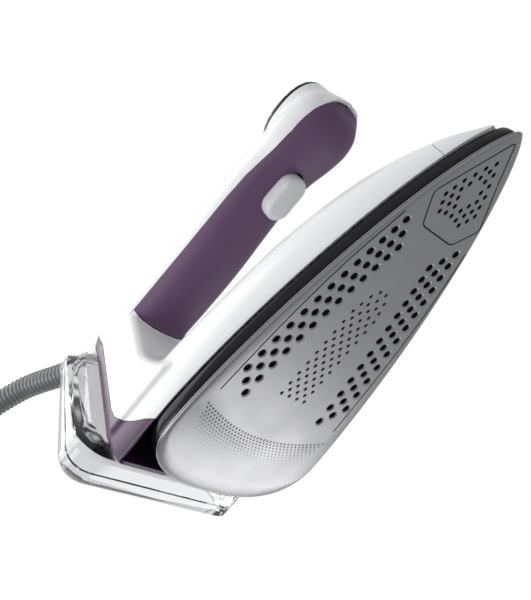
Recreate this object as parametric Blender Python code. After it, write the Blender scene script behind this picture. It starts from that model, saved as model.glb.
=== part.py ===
"""A steam generator iron lying on its soleplate, in metres, +X towards the nose and +Z up.

Distances called back are measured from the nose tip towards the heel.
"""

import math

import bmesh
import bpy
import numpy as np
from mathutils import Matrix, Vector

gap = 0.0003  # between pieces that touch
clearance = 0.0006  # around pieces that slide or turn

# soleplate and heater
sole_length = 0.248
sole_width = 0.1184
sole_thickness = 0.0026
heel_depth = 0.036  # from the widest place back to the heel
steam_hole_radius = 0.0016
heater_plate_top = 0.0092
heater_top = 0.019
chamber_floor = 0.010
element_radius = 0.0032
gasket_thickness = 0.0010
cover_thickness = 0.0018

# body shells
wall = 0.0024
skirt_top = 0.012
shield_top = 0.0295
deck_height = 0.0585
rear_overhang = 0.004  # body behind the heel of the soleplate
nose_seam = 0.032
rear_seam = 0.009  # ahead of the back of the body
rear_low_seam = 0.030
rear_low_top = 0.036

# handle
handle_front = 0.046
handle_length = sole_length + rear_overhang - handle_front  # it ends flush with the body
handle_width = 0.041
handle_bottom = 0.0985
handle_top = 0.1335
handle_seam = 0.1135
pillar_depth = 0.038
head_rise = 0.0060  # how far the front of the handle stands above the rest
panel_length = 0.054
panel_drop = 0.0065

# controls
trigger_length = 0.026
trigger_width = 0.0145
trigger_drop = 0.0055
trigger_swing = 0.0012  # room ahead of the trigger, which moves forward as it swings up
trigger_back = 0.0485  # from the front of the handle to the front of the trigger
pin_radius = 0.00125
pin_clearance = 0.0001
board_thickness = 0.0016
button_length = 0.017
button_width = 0.0125
button_proud = 0.0012
button_travel = 0.0008
lens_radius = 0.0016

# hose
swivel_tilt = math.radians(35)
swivel_neck = 0.0065
swivel_dome = 0.0120
hose_diameter = 0.015
coil_inner = 0.0645
coil_outer = coil_inner + 2 * hose_diameter + 0.001
connector_length = 0.052
connector_turn = math.radians(160)
connector_rise = math.radians(8)  # it rests on the coil's inner turn

# heel rest
rest_depth = 0.027
rest_width = 0.144
rest_low = 0.0255
rest_high = 0.1245
rest_rim = 0.0075
rest_lean = 0.13  # how far the rear face leans forward, per unit of height

screw_radius = 0.0016
screw_head = 0.0031
boss_radius = 0.0042

body_length = sole_length + rear_overhang
overall_length = body_length + gap + rest_depth
nose_x = overall_length / 2
half_sole = sole_width / 2
widest = sole_length - heel_depth
grip_rear = handle_length + handle_front - pillar_depth
panel_seam = handle_top + head_rise - panel_drop
swivel_base = Vector((nose_x - body_length + 0.004, 0, handle_top - 0.0135))
swivel_axis = Vector((-math.cos(swivel_tilt), 0, math.sin(swivel_tilt)))
hose_start = Vector((swivel_base.x, 0, 0))  # the hose's route is laid out from here
coil_centre = hose_start + Vector((-0.22665, -0.0220, 0))


def clear_scene():
    for old in list(bpy.data.objects):
        bpy.data.objects.remove(old, do_unlink=True)


def material(name, colour, roughness, metallic=0.0, transmission=0.0):
    made = bpy.data.materials.new(name)
    made.use_nodes = True
    shader = made.node_tree.nodes["Principled BSDF"]
    shader.inputs["Base Color"].default_value = (*colour, 1)
    shader.inputs["Roughness"].default_value = roughness
    shader.inputs["Metallic"].default_value = metallic
    shader.inputs["Transmission Weight"].default_value = transmission
    return made


def object_of(name, bm, origin=(0, 0, 0)):
    """A linked object whose points stay where they are while its origin moves to the given place."""
    bmesh.ops.recalc_face_normals(bm, faces=bm.faces)
    bmesh.ops.translate(bm, verts=bm.verts, vec=-Vector(origin))
    mesh = bpy.data.meshes.new(name)
    bm.to_mesh(mesh)
    bm.free()
    made = bpy.data.objects.new(name, mesh)
    made.location = origin
    bpy.context.collection.objects.link(made)
    return made


def loft(name, rings, origin=(0, 0, 0)):
    """A closed solid through rings of equally many points."""
    bm = bmesh.new()
    rows = [[bm.verts.new(point) for point in ring] for ring in rings]
    count = len(rows[0])
    for low, high in zip(rows, rows[1:]):
        for i in range(count):
            j = (i + 1) % count
            bm.faces.new((low[i], low[j], high[j], high[i]))
    bm.faces.new(rows[0])
    bm.faces.new(rows[-1])
    return object_of(name, bm, origin)


def box(name, low, high):
    bm = bmesh.new()
    bmesh.ops.create_cube(bm, size=1)
    low = Vector(low)
    high = Vector(high)
    size = Matrix.Diagonal((*(high - low), 1))
    bmesh.ops.transform(bm, verts=bm.verts, matrix=Matrix.Translation((low + high) / 2) @ size)
    return object_of(name, bm)


def turned(name, profile, base, axis, segments=20):
    """A solid of revolution: profile is (radius, distance along the axis) from one end to the other."""
    turn = Vector((0, 0, 1)).rotation_difference(Vector(axis)).to_matrix()
    rings = []
    for radius, along in profile:
        angles = (2 * math.pi * k / segments for k in range(segments))
        ring = (Vector((radius * math.cos(a), radius * math.sin(a), along)) for a in angles)
        rings.append([turn @ point + Vector(base) for point in ring])
    return loft(name, rings, origin=base)


def tube_ring(name, outer, inner, start, end, base, axis, segments=20):
    made = turned(name, ((outer, start), (outer, end)), base, axis, segments)
    reach = wall
    hole = turned(name + "_hole", ((inner, start - reach), (inner, end + reach)), base, axis, segments)
    combine(made, hole, "DIFFERENCE")
    return made


def combine(target, other, operation):
    """Cuts, joins or intersects target with other, and removes other."""
    change = target.modifiers.new(operation.title(), "BOOLEAN")
    change.operation = operation
    change.solver = "EXACT"
    change.object = other
    bpy.context.view_layer.update()
    graph = bpy.context.evaluated_depsgraph_get()
    mesh = bpy.data.meshes.new_from_object(target.evaluated_get(graph))
    target.modifiers.clear()
    target.data = mesh
    bpy.data.objects.remove(other, do_unlink=True)


def copy_of(source, name):
    made = source.copy()
    made.data = source.data.copy()
    made.name = name
    bpy.context.collection.objects.link(made)
    return made


def finish(target, name, look):
    target.name = name
    target.data.materials.clear()
    target.data.materials.append(look)
    target.hide_render = False
    return target


def smooth(table, where):
    """A curve through (place, value) points with no corners."""
    places, values = (np.array(column, float) for column in zip(*table))
    slopes = np.gradient(values, places)
    i = int(np.clip(np.searchsorted(places, where) - 1, 0, len(places) - 2))
    span = places[i + 1] - places[i]
    t = float(np.clip((where - places[i]) / span, 0, 1))
    held = (2 * t**3 - 3 * t**2 + 1) * values[i] + (3 * t**2 - 2 * t**3) * values[i + 1]
    bent = (t**3 - 2 * t**2 + t) * slopes[i] + (t**3 - t**2) * slopes[i + 1]
    return held + span * bent


def half_width(back, inset=0.0, nose=None):
    """Half the width of the soleplate's outline, or of an outline inside it."""
    nose = 2.2 * inset if nose is None else nose
    share = np.clip((back - nose) / (widest - nose), 0, 1)
    return float((half_sole - inset) * (1 - (1 - share) ** 1.6) ** 0.7)


def outline(z, inset=0.0, nose=None, heel=None):
    """One ring of the soleplate's outline: the nose curve and a rounded heel, mirrored."""
    nose = 2.2 * inset if nose is None else nose
    heel = inset if heel is None else heel
    wide = half_sole - inset
    side = []
    for k in range(13):
        back = nose + (widest - nose) * (k / 12) ** 1.5
        side.append((back, max(half_width(back, inset, nose), 0.0006)))
    depth = heel_depth - heel
    for k in range(1, 9):
        angle = math.pi / 2 * k / 8
        back = widest + depth * math.sin(angle) ** (2 / 2.6)
        side.append((back, wide * math.cos(angle) ** (2 / 2.6)))
    side[-1] = (widest + depth, 0.0)
    points = [Vector((nose_x - back, y, z)) for back, y in side]
    others = [Vector((point.x, -point.y, z)) for point in reversed(points[:-1])]
    return points + others


def plate(name, low, high, inset, nose=None, heel=None):
    return loft(name, [outline(low, inset, nose, heel), outline(high, inset, nose, heel)])


def rounded_ring(centre, length, width, radius, z, corner=4):
    """A horizontal rounded rectangle."""
    points = []
    for k, (sx, sy) in enumerate(((1, 1), (-1, 1), (-1, -1), (1, -1))):
        for step in range(corner + 1):
            angle = math.pi / 2 * (k + step / corner)
            x = centre[0] + sx * (length / 2 - radius) + radius * math.cos(angle)
            y = centre[1] + sy * (width / 2 - radius) + radius * math.sin(angle)
            points.append(Vector((x, y, z)))
    return points


# --- soleplate, heater and steam chamber ---


def band_holes():
    """Places of the large steam holes: three slanting columns along each side."""
    places = []
    for row in range(15):
        back = 0.067 + 0.0071 * row + 0.00013 * row**2
        edge = 0.815 * half_width(back)
        for column in range(3):
            if column <= row <= column + 12:
                shift = column * (0.00028 * row + 0.0001)
                places.append((back - shift, edge - 0.0066 * column))
    return [(back, side * y) for back, y in places for side in (1, -1)]


def soleplate(look):
    rings = [
        outline(0, 0.0018, heel=0.0130),
        outline(0.0004, 0.0008, heel=0.0080),
        outline(0.0012, 0, heel=0.0030),
        outline(sole_thickness, 0),
    ]
    made = loft("soleplate", rings)
    bm = bmesh.new()
    for back, y in band_holes():
        middle = Matrix.Translation((nose_x - back, y, sole_thickness / 2))
        bmesh.ops.create_cone(
            bm,
            cap_ends=True,
            segments=8,
            radius1=steam_hole_radius,
            radius2=steam_hole_radius,
            depth=sole_thickness * 2,
            matrix=middle,
        )
    combine(made, object_of("steam_holes", bm), "DIFFERENCE")
    finish(made, "soleplate", look)


def element_route():
    """Half of the heating element's loop, from the nose back to its terminal."""
    nose = 0.062
    inset = 0.020
    points = []
    last = sole_length - 0.026
    for k in range(1, 10):
        back = nose + (last - nose) * (k / 9) ** 1.6
        points.append((back, half_width(back, inset, nose)))
    return nose, points


def swept(name, points, radius, sides=10):
    """A round bar along a route of points."""
    rings = []
    up = Vector((0.02, 1, 0.013)).normalized()
    for i, point in enumerate(points):
        ahead = points[min(i + 1, len(points) - 1)] - points[max(i - 1, 0)]
        ahead.normalize()
        side = ahead.cross(up).normalized()
        if i and side.dot(last) < 0:
            side = -side
        last = side
        other = ahead.cross(side)
        ring = []
        for k in range(sides):
            angle = 2 * math.pi * k / sides
            ring.append(point + radius * (side * math.cos(angle) + other * math.sin(angle)))
        rings.append(ring)
    return loft(name, rings)


def element_points():
    nose, half = element_route()
    left = [Vector((nose_x - back, y, heater_top)) for back, y in reversed(half)]
    right = [Vector((point.x, -point.y, point.z)) for point in reversed(left)]
    return left + [Vector((nose_x - nose, 0, heater_top))] + right


def flat_sweep(name, points, radius, sides=10):
    """A round bar along a route that stays level."""
    rings = []
    for i, point in enumerate(points):
        ahead = points[min(i + 1, len(points) - 1)] - points[max(i - 1, 0)]
        side = ahead.cross(Vector((0, 0, 1))).normalized()
        ring = []
        for k in range(sides):
            angle = 2 * math.pi * k / sides
            ring.append(point + radius * (side * math.cos(angle) + Vector((0, 0, math.sin(angle)))))
        rings.append(ring)
    return loft(name, rings)


heater_posts = (
    (0.0745, 0.0),
    (sole_length - 0.019, 0.018),
    (sole_length - 0.019, -0.018),
)
housing_posts = (
    (0.056, 0.0),
    (grip_rear - 0.024, 0.028),
    (grip_rear - 0.024, -0.028),
)
roof = shield_top - wall


def heater_body(look):
    made = plate("heater_body", sole_thickness + gap, heater_plate_top, 0.008)
    upper = plate("upper", heater_plate_top - 0.001, heater_top, 0.013, nose=0.050)
    combine(made, upper, "UNION")
    for back, y in heater_posts:
        ends = ((boss_radius, heater_top - 0.002), (boss_radius, roof - gap))
        combine(made, turned("post", ends, (nose_x - back, y, 0), (0, 0, 1), 16), "UNION")
    pocket = plate("pocket", chamber_floor, heater_top + 0.01, 0.027, nose=0.090)
    combine(made, pocket, "DIFFERENCE")
    groove = flat_sweep("groove", element_points(), element_radius + gap)
    combine(made, groove, "DIFFERENCE")
    for back, y in heater_posts:
        hole = ((screw_radius + gap, heater_top - 0.004), (screw_radius + gap, shield_top))
        combine(made, turned("bore", hole, (nose_x - back, y, 0), (0, 0, 1), 12), "DIFFERENCE")
    finish(made, "heater_body", look)


def heating_element(look):
    made = flat_sweep("heating_element", element_points(), element_radius)
    finish(made, "heating_element", look)


def steam_chamber(gasket_look, cover_look):
    low = heater_top + gap
    high = low + gasket_thickness
    seal = plate("chamber_gasket", low, high, 0.025, nose=0.086)
    combine(seal, plate("inside", low - 0.01, high + 0.01, 0.0275, nose=0.091), "DIFFERENCE")
    finish(seal, "chamber_gasket", gasket_look)
    cover = plate("chamber_cover", high + gap, high + gap + cover_thickness, 0.025, nose=0.086)
    inlet = ((0.0022, heater_top), (0.0022, shield_top))
    combine(cover, turned("inlet", inlet, (steam_inlet_x, 0, 0), (0, 0, 1), 12), "DIFFERENCE")
    finish(cover, "chamber_cover", cover_look)


steam_inlet_x = nose_x - (sole_length - 0.036)
cover_top = heater_top + gap + gasket_thickness + gap + cover_thickness


def heater_fittings(sensor_look, fuse_look):
    x = nose_x - (sole_length - 0.019)
    low = heater_top + gap
    profile = ((0.0029, low), (0.0029, low + 0.0030), (0.0016, low + 0.0042))
    sensor = turned("temperature_sensor", profile, (x, 0.0085, 0), (0, 0, 1), 16)
    finish(sensor, "temperature_sensor", sensor_look)
    fuse = box("thermal_fuse", (x - 0.004, -0.0125, low), (x + 0.004, 0.0030, low + 0.0038))
    finish(fuse, "thermal_fuse", fuse_look)


def heat_shield(look):
    made = plate("heat_shield", sole_thickness + 2 * gap, skirt_top, 0.0020)
    dome = plate("dome", skirt_top - 0.001, shield_top, 0.008, nose=0.040)
    combine(made, dome, "UNION")
    low = plate("low", 0, heater_plate_top + 0.0004, 0.0050)
    high = plate("high", 0, roof, 0.0105, nose=0.045)
    combine(low, high, "UNION")
    combine(made, low, "DIFFERENCE")
    for back, y in heater_posts + housing_posts:
        hole = ((screw_radius + gap, roof - 0.005), (screw_radius + gap, shield_top + 0.005))
        combine(made, turned("bore", hole, (nose_x - back, y, 0), (0, 0, 1), 12), "DIFFERENCE")
    hole = ((0.0045, roof - 0.005), (0.0045, shield_top + 0.005))
    combine(made, turned("inlet", hole, (steam_inlet_x, 0, 0), (0, 0, 1), 16), "DIFFERENCE")
    finish(made, "heat_shield", look)


# --- the shells, cut from one hollow body ---

deck_profile = (
    (0.00, 0.22),
    (0.04, 0.31),
    (0.09, 0.47),
    (0.15, 0.61),
    (0.22, 0.74),
    (0.32, 0.86),
    (0.43, 0.94),
    (0.62, 0.98),
    (0.80, 1.00),
    (1.00, 1.00),
)

# share of the handle's length, then rise of the underside and of the top, and width as a share
handle_profile = (
    (0.000, 0.0110, -0.0090, 0.35),
    (0.018, 0.0030, -0.0010, 0.72),
    (0.050, -0.0025, 0.0040, 1.00),
    (0.100, -0.0045, 0.0058, 1.15),
    (0.165, -0.0020, 0.0060, 1.18),
    (0.240, 0.0015, 0.0048, 1.08),
    (0.320, 0.0025, 0.0028, 1.02),
    (0.420, 0.0010, 0.0010, 1.00),
    (0.560, -0.0010, 0.0000, 1.00),
    (0.700, -0.0005, 0.0000, 1.02),
    (0.850, 0.0015, 0.0000, 1.04),
    (0.960, 0.0030, -0.0010, 1.04),
    (1.000, 0.0060, -0.0045, 0.92),
)


def deck(back):
    return deck_height * smooth(deck_profile, back / body_length)


def arch_section(back, inset):
    """The body's cross-section: a straight base and rounded shoulders."""
    wide = half_width(back) - inset - 0.0003
    high = deck(back) - inset
    base = skirt_top + gap - (0.004 if inset else 0)
    points = []
    for k in range(17):
        angle = math.pi * k / 16
        y = math.copysign(abs(math.cos(angle)) ** 0.85, math.cos(angle)) * wide
        z = base + (high - base) * math.sin(angle) ** 0.8
        points.append(Vector((nose_x - back, y, z)))
    return points


def arch(name, inset=0.0):
    first = 0.0045 + 2.6 * inset
    last = body_length - inset
    rings = []
    for k in range(16):
        back = first + (last - first) * (k / 15) ** 1.25
        rings.append(arch_section(back, inset))
    return loft(name, rings)


def pillar_half(z):
    return half_sole - 0.0022 - (z - 0.035) * 0.445


def pillar(name, inset=0.0):
    """The flared column at the rear that carries the handle."""
    low = 0.030
    high = handle_seam + 0.0100
    front = grip_rear + 0.0007
    rear = body_length + 0.0002 - inset
    rings = []
    for k in range(7):
        z = low + (high - low) * k / 6
        foot = 0.018 * max(0.0, 1 - (z - low) / 0.038) ** 1.5
        start = front - foot + inset
        half = pillar_half(z) - 1.1 * inset
        centre = (nose_x - (start + rear) / 2, 0)
        rings.append(rounded_ring(centre, rear - start, 2 * half, 0.0050 - inset, z, 3))
    return loft(name, rings)


def handle_size(share):
    """Underside, top and half width of the handle at a share of its length."""
    low = handle_bottom + smooth([row[:2] for row in handle_profile], share)
    high = handle_top + smooth([(row[0], row[2]) for row in handle_profile], share)
    half = handle_width / 2 * smooth([(row[0], row[3]) for row in handle_profile], share)
    return low, high, half


def handle_body(name, inset=0.0):
    rings = []
    count = 22
    for k in range(count):
        share = (1 - math.cos(math.pi * k / (count - 1))) / 2
        low, high, half = handle_size(share)
        back = handle_front + inset + (handle_length - 0.0006 - 2 * inset) * share
        ring = []
        for step in range(24):
            angle = 2 * math.pi * step / 24
            flat = math.copysign(abs(math.cos(angle)) ** 0.85, math.cos(angle))
            tall = math.copysign(abs(math.sin(angle)) ** 0.85, math.sin(angle))
            middle = (low + high) / 2
            y = flat * (half - inset)
            z = middle + tall * ((high - low) / 2 - inset)
            ring.append(Vector((nose_x - back, y, z)))
        rings.append(ring)
    return loft(name, rings)


def hollow_body():
    made = arch("hollow_body")
    combine(made, pillar("column"), "UNION")
    combine(made, handle_body("bar"), "UNION")
    inside = arch("inside", wall)
    combine(inside, pillar("column", wall), "UNION")
    combine(inside, handle_body("bar", wall), "UNION")
    combine(made, inside, "DIFFERENCE")
    return made


def region(name, back, height):
    """A box from back[0] to back[1] and height[0] to height[1], across the whole width."""
    low = (nose_x - back[1], -sole_width, height[0])
    high = (nose_x - back[0], sole_width, height[1])
    return box(name, low, high)


def shells(looks):
    whole = hollow_body()
    half = gap / 2
    rear = body_length - rear_seam
    low_seam = body_length - rear_low_seam
    far = body_length + 0.1
    high = 1.0
    split = (deck_height + handle_bottom) / 2

    nose = copy_of(whole, "nose_cap")
    combine(nose, region("keep", (-0.1, nose_seam - half), (0, split)), "INTERSECT")

    panel = copy_of(whole, "control_panel")
    panel_end = handle_front + panel_length
    combine(panel, region("keep", (0, panel_end - half), (panel_seam + half, high)), "INTERSECT")

    top = copy_of(whole, "handle_top_shell")
    combine(top, region("keep", (0, rear - half), (handle_seam + half, high)), "INTERSECT")
    combine(top, region("cut", (0, panel_end + half), (panel_seam - half, high)), "DIFFERENCE")

    grip = copy_of(whole, "handle_grip")
    combine(grip, region("keep", (0, grip_rear - half), (split, handle_seam - half)), "INTERSECT")

    housing = copy_of(whole, "main_housing")
    keep = region("keep", (nose_seam + half, rear - half), (0, split))
    column = region("column", (grip_rear + half, rear - half), (split - 0.01, handle_seam - half))
    combine(keep, column, "UNION")
    combine(keep, region("cut", (low_seam - half, far), (-0.1, rear_low_top + half)), "DIFFERENCE")
    combine(housing, keep, "INTERSECT")

    cover = copy_of(whole, "rear_cover")
    keep = region("keep", (rear + half, far), (0, high))
    combine(keep, region("low", (low_seam + half, far - 0.01), (-0.1, rear_low_top - half)), "UNION")
    combine(cover, keep, "INTERSECT")
    bpy.data.objects.remove(whole, do_unlink=True)

    fit_nose(nose)
    fit_panel(panel)
    fit_grip(grip)
    fit_housing(housing)
    fit_cover(cover)
    combine(top, swivel_room(), "DIFFERENCE")
    finish(nose, "nose_cap", looks["white"])
    finish(panel, "control_panel", looks["black"])
    finish(top, "handle_top_shell", looks["white"])
    finish(grip, "handle_grip", looks["purple"])
    finish(housing, "main_housing", looks["white"])
    finish(cover, "rear_cover", looks["purple"])


def fit_nose(nose):
    """A stiffening rib inside the nose."""
    low = (nose_x - nose_seam + 0.004, -0.0008, skirt_top + 0.004)
    high = (nose_x - nose_seam + 0.0058, 0.0008, deck(nose_seam - 0.005) - wall / 2)
    combine(nose, box("rib", low, high), "UNION")


button_x = nose_x - handle_front - 0.027
lens_x = nose_x - handle_front - 0.045
skin_top = handle_top + head_rise


def fit_panel(panel):
    hole = pill("hole", button_x, button_length, button_width, clearance, (panel_seam, skin_top + 0.01))
    combine(panel, hole, "DIFFERENCE")
    ends = ((lens_radius + gap, panel_seam), (lens_radius + gap, skin_top + 0.01))
    combine(panel, turned("hole", ends, (lens_x, 0, 0), (0, 0, 1), 16), "DIFFERENCE")


def pill(name, x, length, width, grow, heights, origin=(0, 0, 0), corner=5):
    rings = []
    for z in heights:
        size = (length + 2 * grow, width + 2 * grow)
        rings.append(rounded_ring((x, 0), *size, size[1] / 2 - 0.0001, z, corner))
    return loft(name, rings, origin)


trigger_x = nose_x - handle_front - trigger_back - trigger_length / 2
trigger_floor = handle_bottom + 0.0022  # the grip's underside at the trigger
pivot = Vector((trigger_x - trigger_length / 2 + 0.0032, 0, trigger_floor + 0.0060))
ear_start = trigger_width / 2 + clearance + 0.0006
ear_wide = 0.0024


def fit_grip(grip):
    """The trigger's opening, and the two ears that carry its pin."""
    for side in (-1, 1):
        near = side * ear_start
        far = side * (ear_start + ear_wide)
        low = (pivot.x - 0.003, min(near, far), trigger_floor + 0.0018)
        high = (pivot.x + 0.003, max(near, far), pivot.z + 0.0032)
        combine(grip, box("ear", low, high), "UNION")
    span = (trigger_floor - 0.01, trigger_floor + 0.006)
    ahead = trigger_swing / 2
    opening = pill("opening", trigger_x + ahead, trigger_length + 2 * ahead, trigger_width, clearance, span)
    combine(grip, opening, "DIFFERENCE")
    reach = ear_start + ear_wide + 0.001
    ends = ((pin_radius + pin_clearance, -reach), (pin_radius + pin_clearance, reach))
    combine(grip, turned("bore", ends, pivot, (0, 1, 0), 16), "DIFFERENCE")


def body_top(back, y):
    """Height of the body's skin at a place on its deck."""
    wide = half_width(back)
    across = min(abs(y) / wide, 1) ** (1 / 0.85)
    base = skirt_top + gap
    return base + (deck(back) - base) * max(0.0, 1 - across**2) ** 0.4


def fit_housing(housing):
    """Posts for the screws that come up through the heat shield."""
    for back, y in housing_posts:
        top = body_top(back, abs(y) + boss_radius) - 0.5 * wall
        ends = ((boss_radius, shield_top + gap), (boss_radius, top))
        combine(housing, turned("post", ends, (nose_x - back, y, 0), (0, 0, 1), 16), "UNION")
    for back, y in housing_posts:
        ends = ((screw_radius + gap, 0), (screw_radius + gap, shield_top + 0.0090))
        combine(housing, turned("bore", ends, (nose_x - back, y, 0), (0, 0, 1), 12), "DIFFERENCE")
    combine(housing, swivel_room(), "DIFFERENCE")


rest_screws = ((0.030, 0.042), (-0.030, 0.042))
rear_x = nose_x - body_length


def swivel_room():
    """Space for the swivel's neck and its clip inside the shells."""
    ends = ((swivel_neck + 0.0033, -0.0100), (swivel_neck + 0.0033, -0.0036))
    return turned("room", ends, swivel_base, swivel_axis, 20)


def fit_cover(cover):
    """The closed underside, the hose boss and the bosses for the heel rest's screws."""
    floor = arch("floor", wall / 2)
    low_seam = body_length - rear_low_seam
    base = skirt_top + gap
    keep = region("keep", (low_seam + gap, body_length + 0.1), (base + gap, base + wall))
    combine(floor, keep, "INTERSECT")
    combine(floor, plate("dome", 0, 0.1, 0.008 - clearance, nose=0.038), "DIFFERENCE")
    combine(cover, floor, "UNION")
    collar = turned("collar", ((0.0105, -0.0030), (0.0115, 0.0030)), swivel_base, swivel_axis, 24)
    behind = region("behind", (body_length - rear_seam + gap / 2, body_length + 0.1), (0, 1))
    combine(collar, behind, "INTERSECT")
    combine(cover, collar, "UNION")
    seat = ((swivel_dome + clearance, 0.0034 - gap), (swivel_dome + clearance, 0.0300))
    combine(cover, turned("seat", seat, swivel_base, swivel_axis, 28), "DIFFERENCE")
    combine(cover, swivel_room(), "DIFFERENCE")
    bore = ((swivel_neck + gap, -0.02), (swivel_neck + gap, 0.02))
    combine(cover, turned("bore", bore, swivel_base, swivel_axis, 24), "DIFFERENCE")
    for y, z in rest_screws:
        place = (rear_x, y, z)
        post = ((boss_radius, wall / 2), (boss_radius, 0.012))
        combine(cover, turned("post", post, place, (1, 0, 0), 16), "UNION")
    for y, z in rest_screws:
        place = (rear_x, y, z)
        hole = ((screw_radius + gap, -0.01), (screw_radius + gap, 0.0095))
        combine(cover, turned("bore", hole, place, (1, 0, 0), 12), "DIFFERENCE")


# --- heel rest ---


def rest_ring(x, inset, lean=0.0):
    """A rounded trapezium standing across the iron, leaning forward towards its top."""
    low = rest_low + inset
    high = rest_high - inset
    foot = rest_width / 2 - inset
    head = 0.032 - 0.8 * inset
    corners = ((foot, low, 0.020), (head, high, 0.010), (-head, high, 0.010), (-foot, low, 0.020))
    points = []
    for k, (y, z, radius) in enumerate(corners):
        before = corners[k - 1]
        after = corners[(k + 1) % 4]
        here = Vector((0, y, z))
        first = here + (Vector((0, before[0], before[1])) - here).normalized() * radius
        last = here + (Vector((0, after[0], after[1])) - here).normalized() * radius
        for step in range(6):
            t = step / 5
            bent = first * (1 - t) ** 2 + here * 2 * t * (1 - t) + last * t**2
            points.append(Vector((x + lean * (bent.z - rest_low), bent.y, bent.z)))
    return points


def heel_rest(look):
    front = rear_x - gap
    back = front - rest_depth
    rings = [
        rest_ring(front, 0.0065),
        rest_ring(front - 0.006, 0.0045, 0.1 * rest_lean),
        rest_ring(front - 0.011, 0.0, 0.2 * rest_lean),
        rest_ring(back + 0.001, 0.0, rest_lean),
        rest_ring(back, 0.001, rest_lean),
    ]
    made = loft("heel_rest", rings)
    pocket = loft("pocket", [rest_ring(back - 0.01, rest_rim), rest_ring(back + 0.014, rest_rim)])
    combine(made, pocket, "DIFFERENCE")
    notch = ((0.0125, -0.004), (0.0135, 0.060))
    combine(made, turned("notch", notch, swivel_base, swivel_axis, 24), "DIFFERENCE")
    for y, z in rest_screws:
        place = (rear_x, y, z)
        hole = ((screw_radius + gap, -0.05), (screw_radius + gap, 0.01))
        combine(made, turned("bore", hole, place, (1, 0, 0), 12), "DIFFERENCE")
    finish(made, "heel_rest", look)


# --- trigger, button and electronics ---


def steam_trigger(look, pin_look, spring_look):
    top = trigger_floor + 0.0055
    low = trigger_floor - trigger_drop
    rings = []
    for z, inset in ((low, 0.0016), (low + 0.0010, 0.0005), (low + 0.0022, 0), (top, 0)):
        size = (trigger_length - 2 * inset, trigger_width - 2 * inset)
        rings.append(rounded_ring((trigger_x, 0), *size, size[1] / 2 - 0.0001, z, 5))
    made = loft("steam_trigger", rings, origin=pivot)
    lug = box("lug", pivot - Vector((0.003, 0.0050, 0.003)), pivot + Vector((0.003, 0.0050, 0.0030)))
    combine(made, lug, "UNION")
    ends = ((pin_radius + pin_clearance, -0.02), (pin_radius + pin_clearance, 0.02))
    combine(made, turned("bore", ends, pivot, (0, 1, 0), 16), "DIFFERENCE")
    finish(made, "steam_trigger", look)

    reach = ear_start + ear_wide
    pin = turned("trigger_pin", ((pin_radius, -reach), (pin_radius, reach)), pivot, (0, 1, 0), 16)
    finish(pin, "trigger_pin", pin_look)

    seat = Vector((trigger_x + 0.0012, 0, top + gap))
    turns = 5
    high = board_low - gap - seat.z
    points = []
    for k in range(turns * 10 + 1):
        angle = 2 * math.pi * k / 10
        rise = 0.0005 + (high - 0.0010) * k / (turns * 10)
        points.append(seat + Vector((0.0024 * math.cos(angle), 0.0024 * math.sin(angle), rise)))
    finish(coil_bar("trigger_spring", points, 0.0004, seat), "trigger_spring", spring_look)


def coil_bar(name, points, radius, centre):
    """A wire wound round the vertical line through centre."""
    rings = []
    for point in points:
        out = Vector((point.x - centre.x, point.y - centre.y, 0)).normalized()
        ring = []
        for k in range(6):
            angle = math.pi / 3 * k
            ring.append(point + radius * (out * math.cos(angle) + Vector((0, 0, math.sin(angle)))))
        rings.append(ring)
    return loft(name, rings, origin=centre)


board_low = handle_seam + 0.0050
board_front = nose_x - handle_front - trigger_back + 0.003
board_rear = board_front - 0.040


def electronics(board_look, black_look, wire_look, block_look):
    low = (board_rear, -0.0125, board_low)
    board = box("control_board", low, (board_front, 0.0125, board_low + board_thickness))
    finish(board, "control_board", board_look)

    x = trigger_x + trigger_length / 2 - 0.0045
    body = (x - 0.0035, -0.0040, trigger_floor + 0.0100), (x + 0.0035, 0.0040, board_low - gap)
    switch = box("trigger_switch", *body)
    stem = (x - 0.0010, -0.0015, trigger_floor + 0.0092), (x + 0.0010, 0.0015, trigger_floor + 0.0105)
    combine(switch, box("stem", *stem), "UNION")
    finish(switch, "trigger_switch", black_look)

    small = box(
        "panel_board",
        (button_x - 0.013, -0.0100, panel_board_top - board_thickness),
        (button_x + 0.0085, 0.0100, panel_board_top),
    )
    finish(small, "panel_board", board_look)
    switch = box(
        "button_switch",
        (button_x - 0.003, -0.003, panel_board_top + gap),
        (button_x + 0.003, 0.003, panel_board_top + gap + 0.0028),
    )
    finish(switch, "button_switch", black_look)

    x = nose_x - sole_length + 0.019
    low = shield_top + 0.0035
    block = box("terminal_block", (x - 0.006, -0.013, low), (x + 0.007, 0.013, low + 0.010))
    finish(block, "terminal_block", block_look)
    turn = body_length - 0.0195
    top = board_low + board_thickness / 2 + 0.0020
    route = (
        (turn, 0.0100, low + 0.010 + gap),
        (turn, 0.0100, 0.070),
        (turn, 0.0100, 0.095),
        (turn - 0.004, 0.0100, top - 0.008),
        (turn - 0.014, 0.0095, top - 0.001),
        (turn - 0.030, 0.0090, top),
        (turn - 0.060, 0.0070, top),
        (nose_x - board_rear + gap, 0.0060, top),
    )
    harness = swept("wiring_harness", [Vector((nose_x - b, y, z)) for b, y, z in route], 0.0020, 8)
    finish(harness, "wiring_harness", wire_look)


panel_board_top = skin_top - 0.0088


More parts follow.
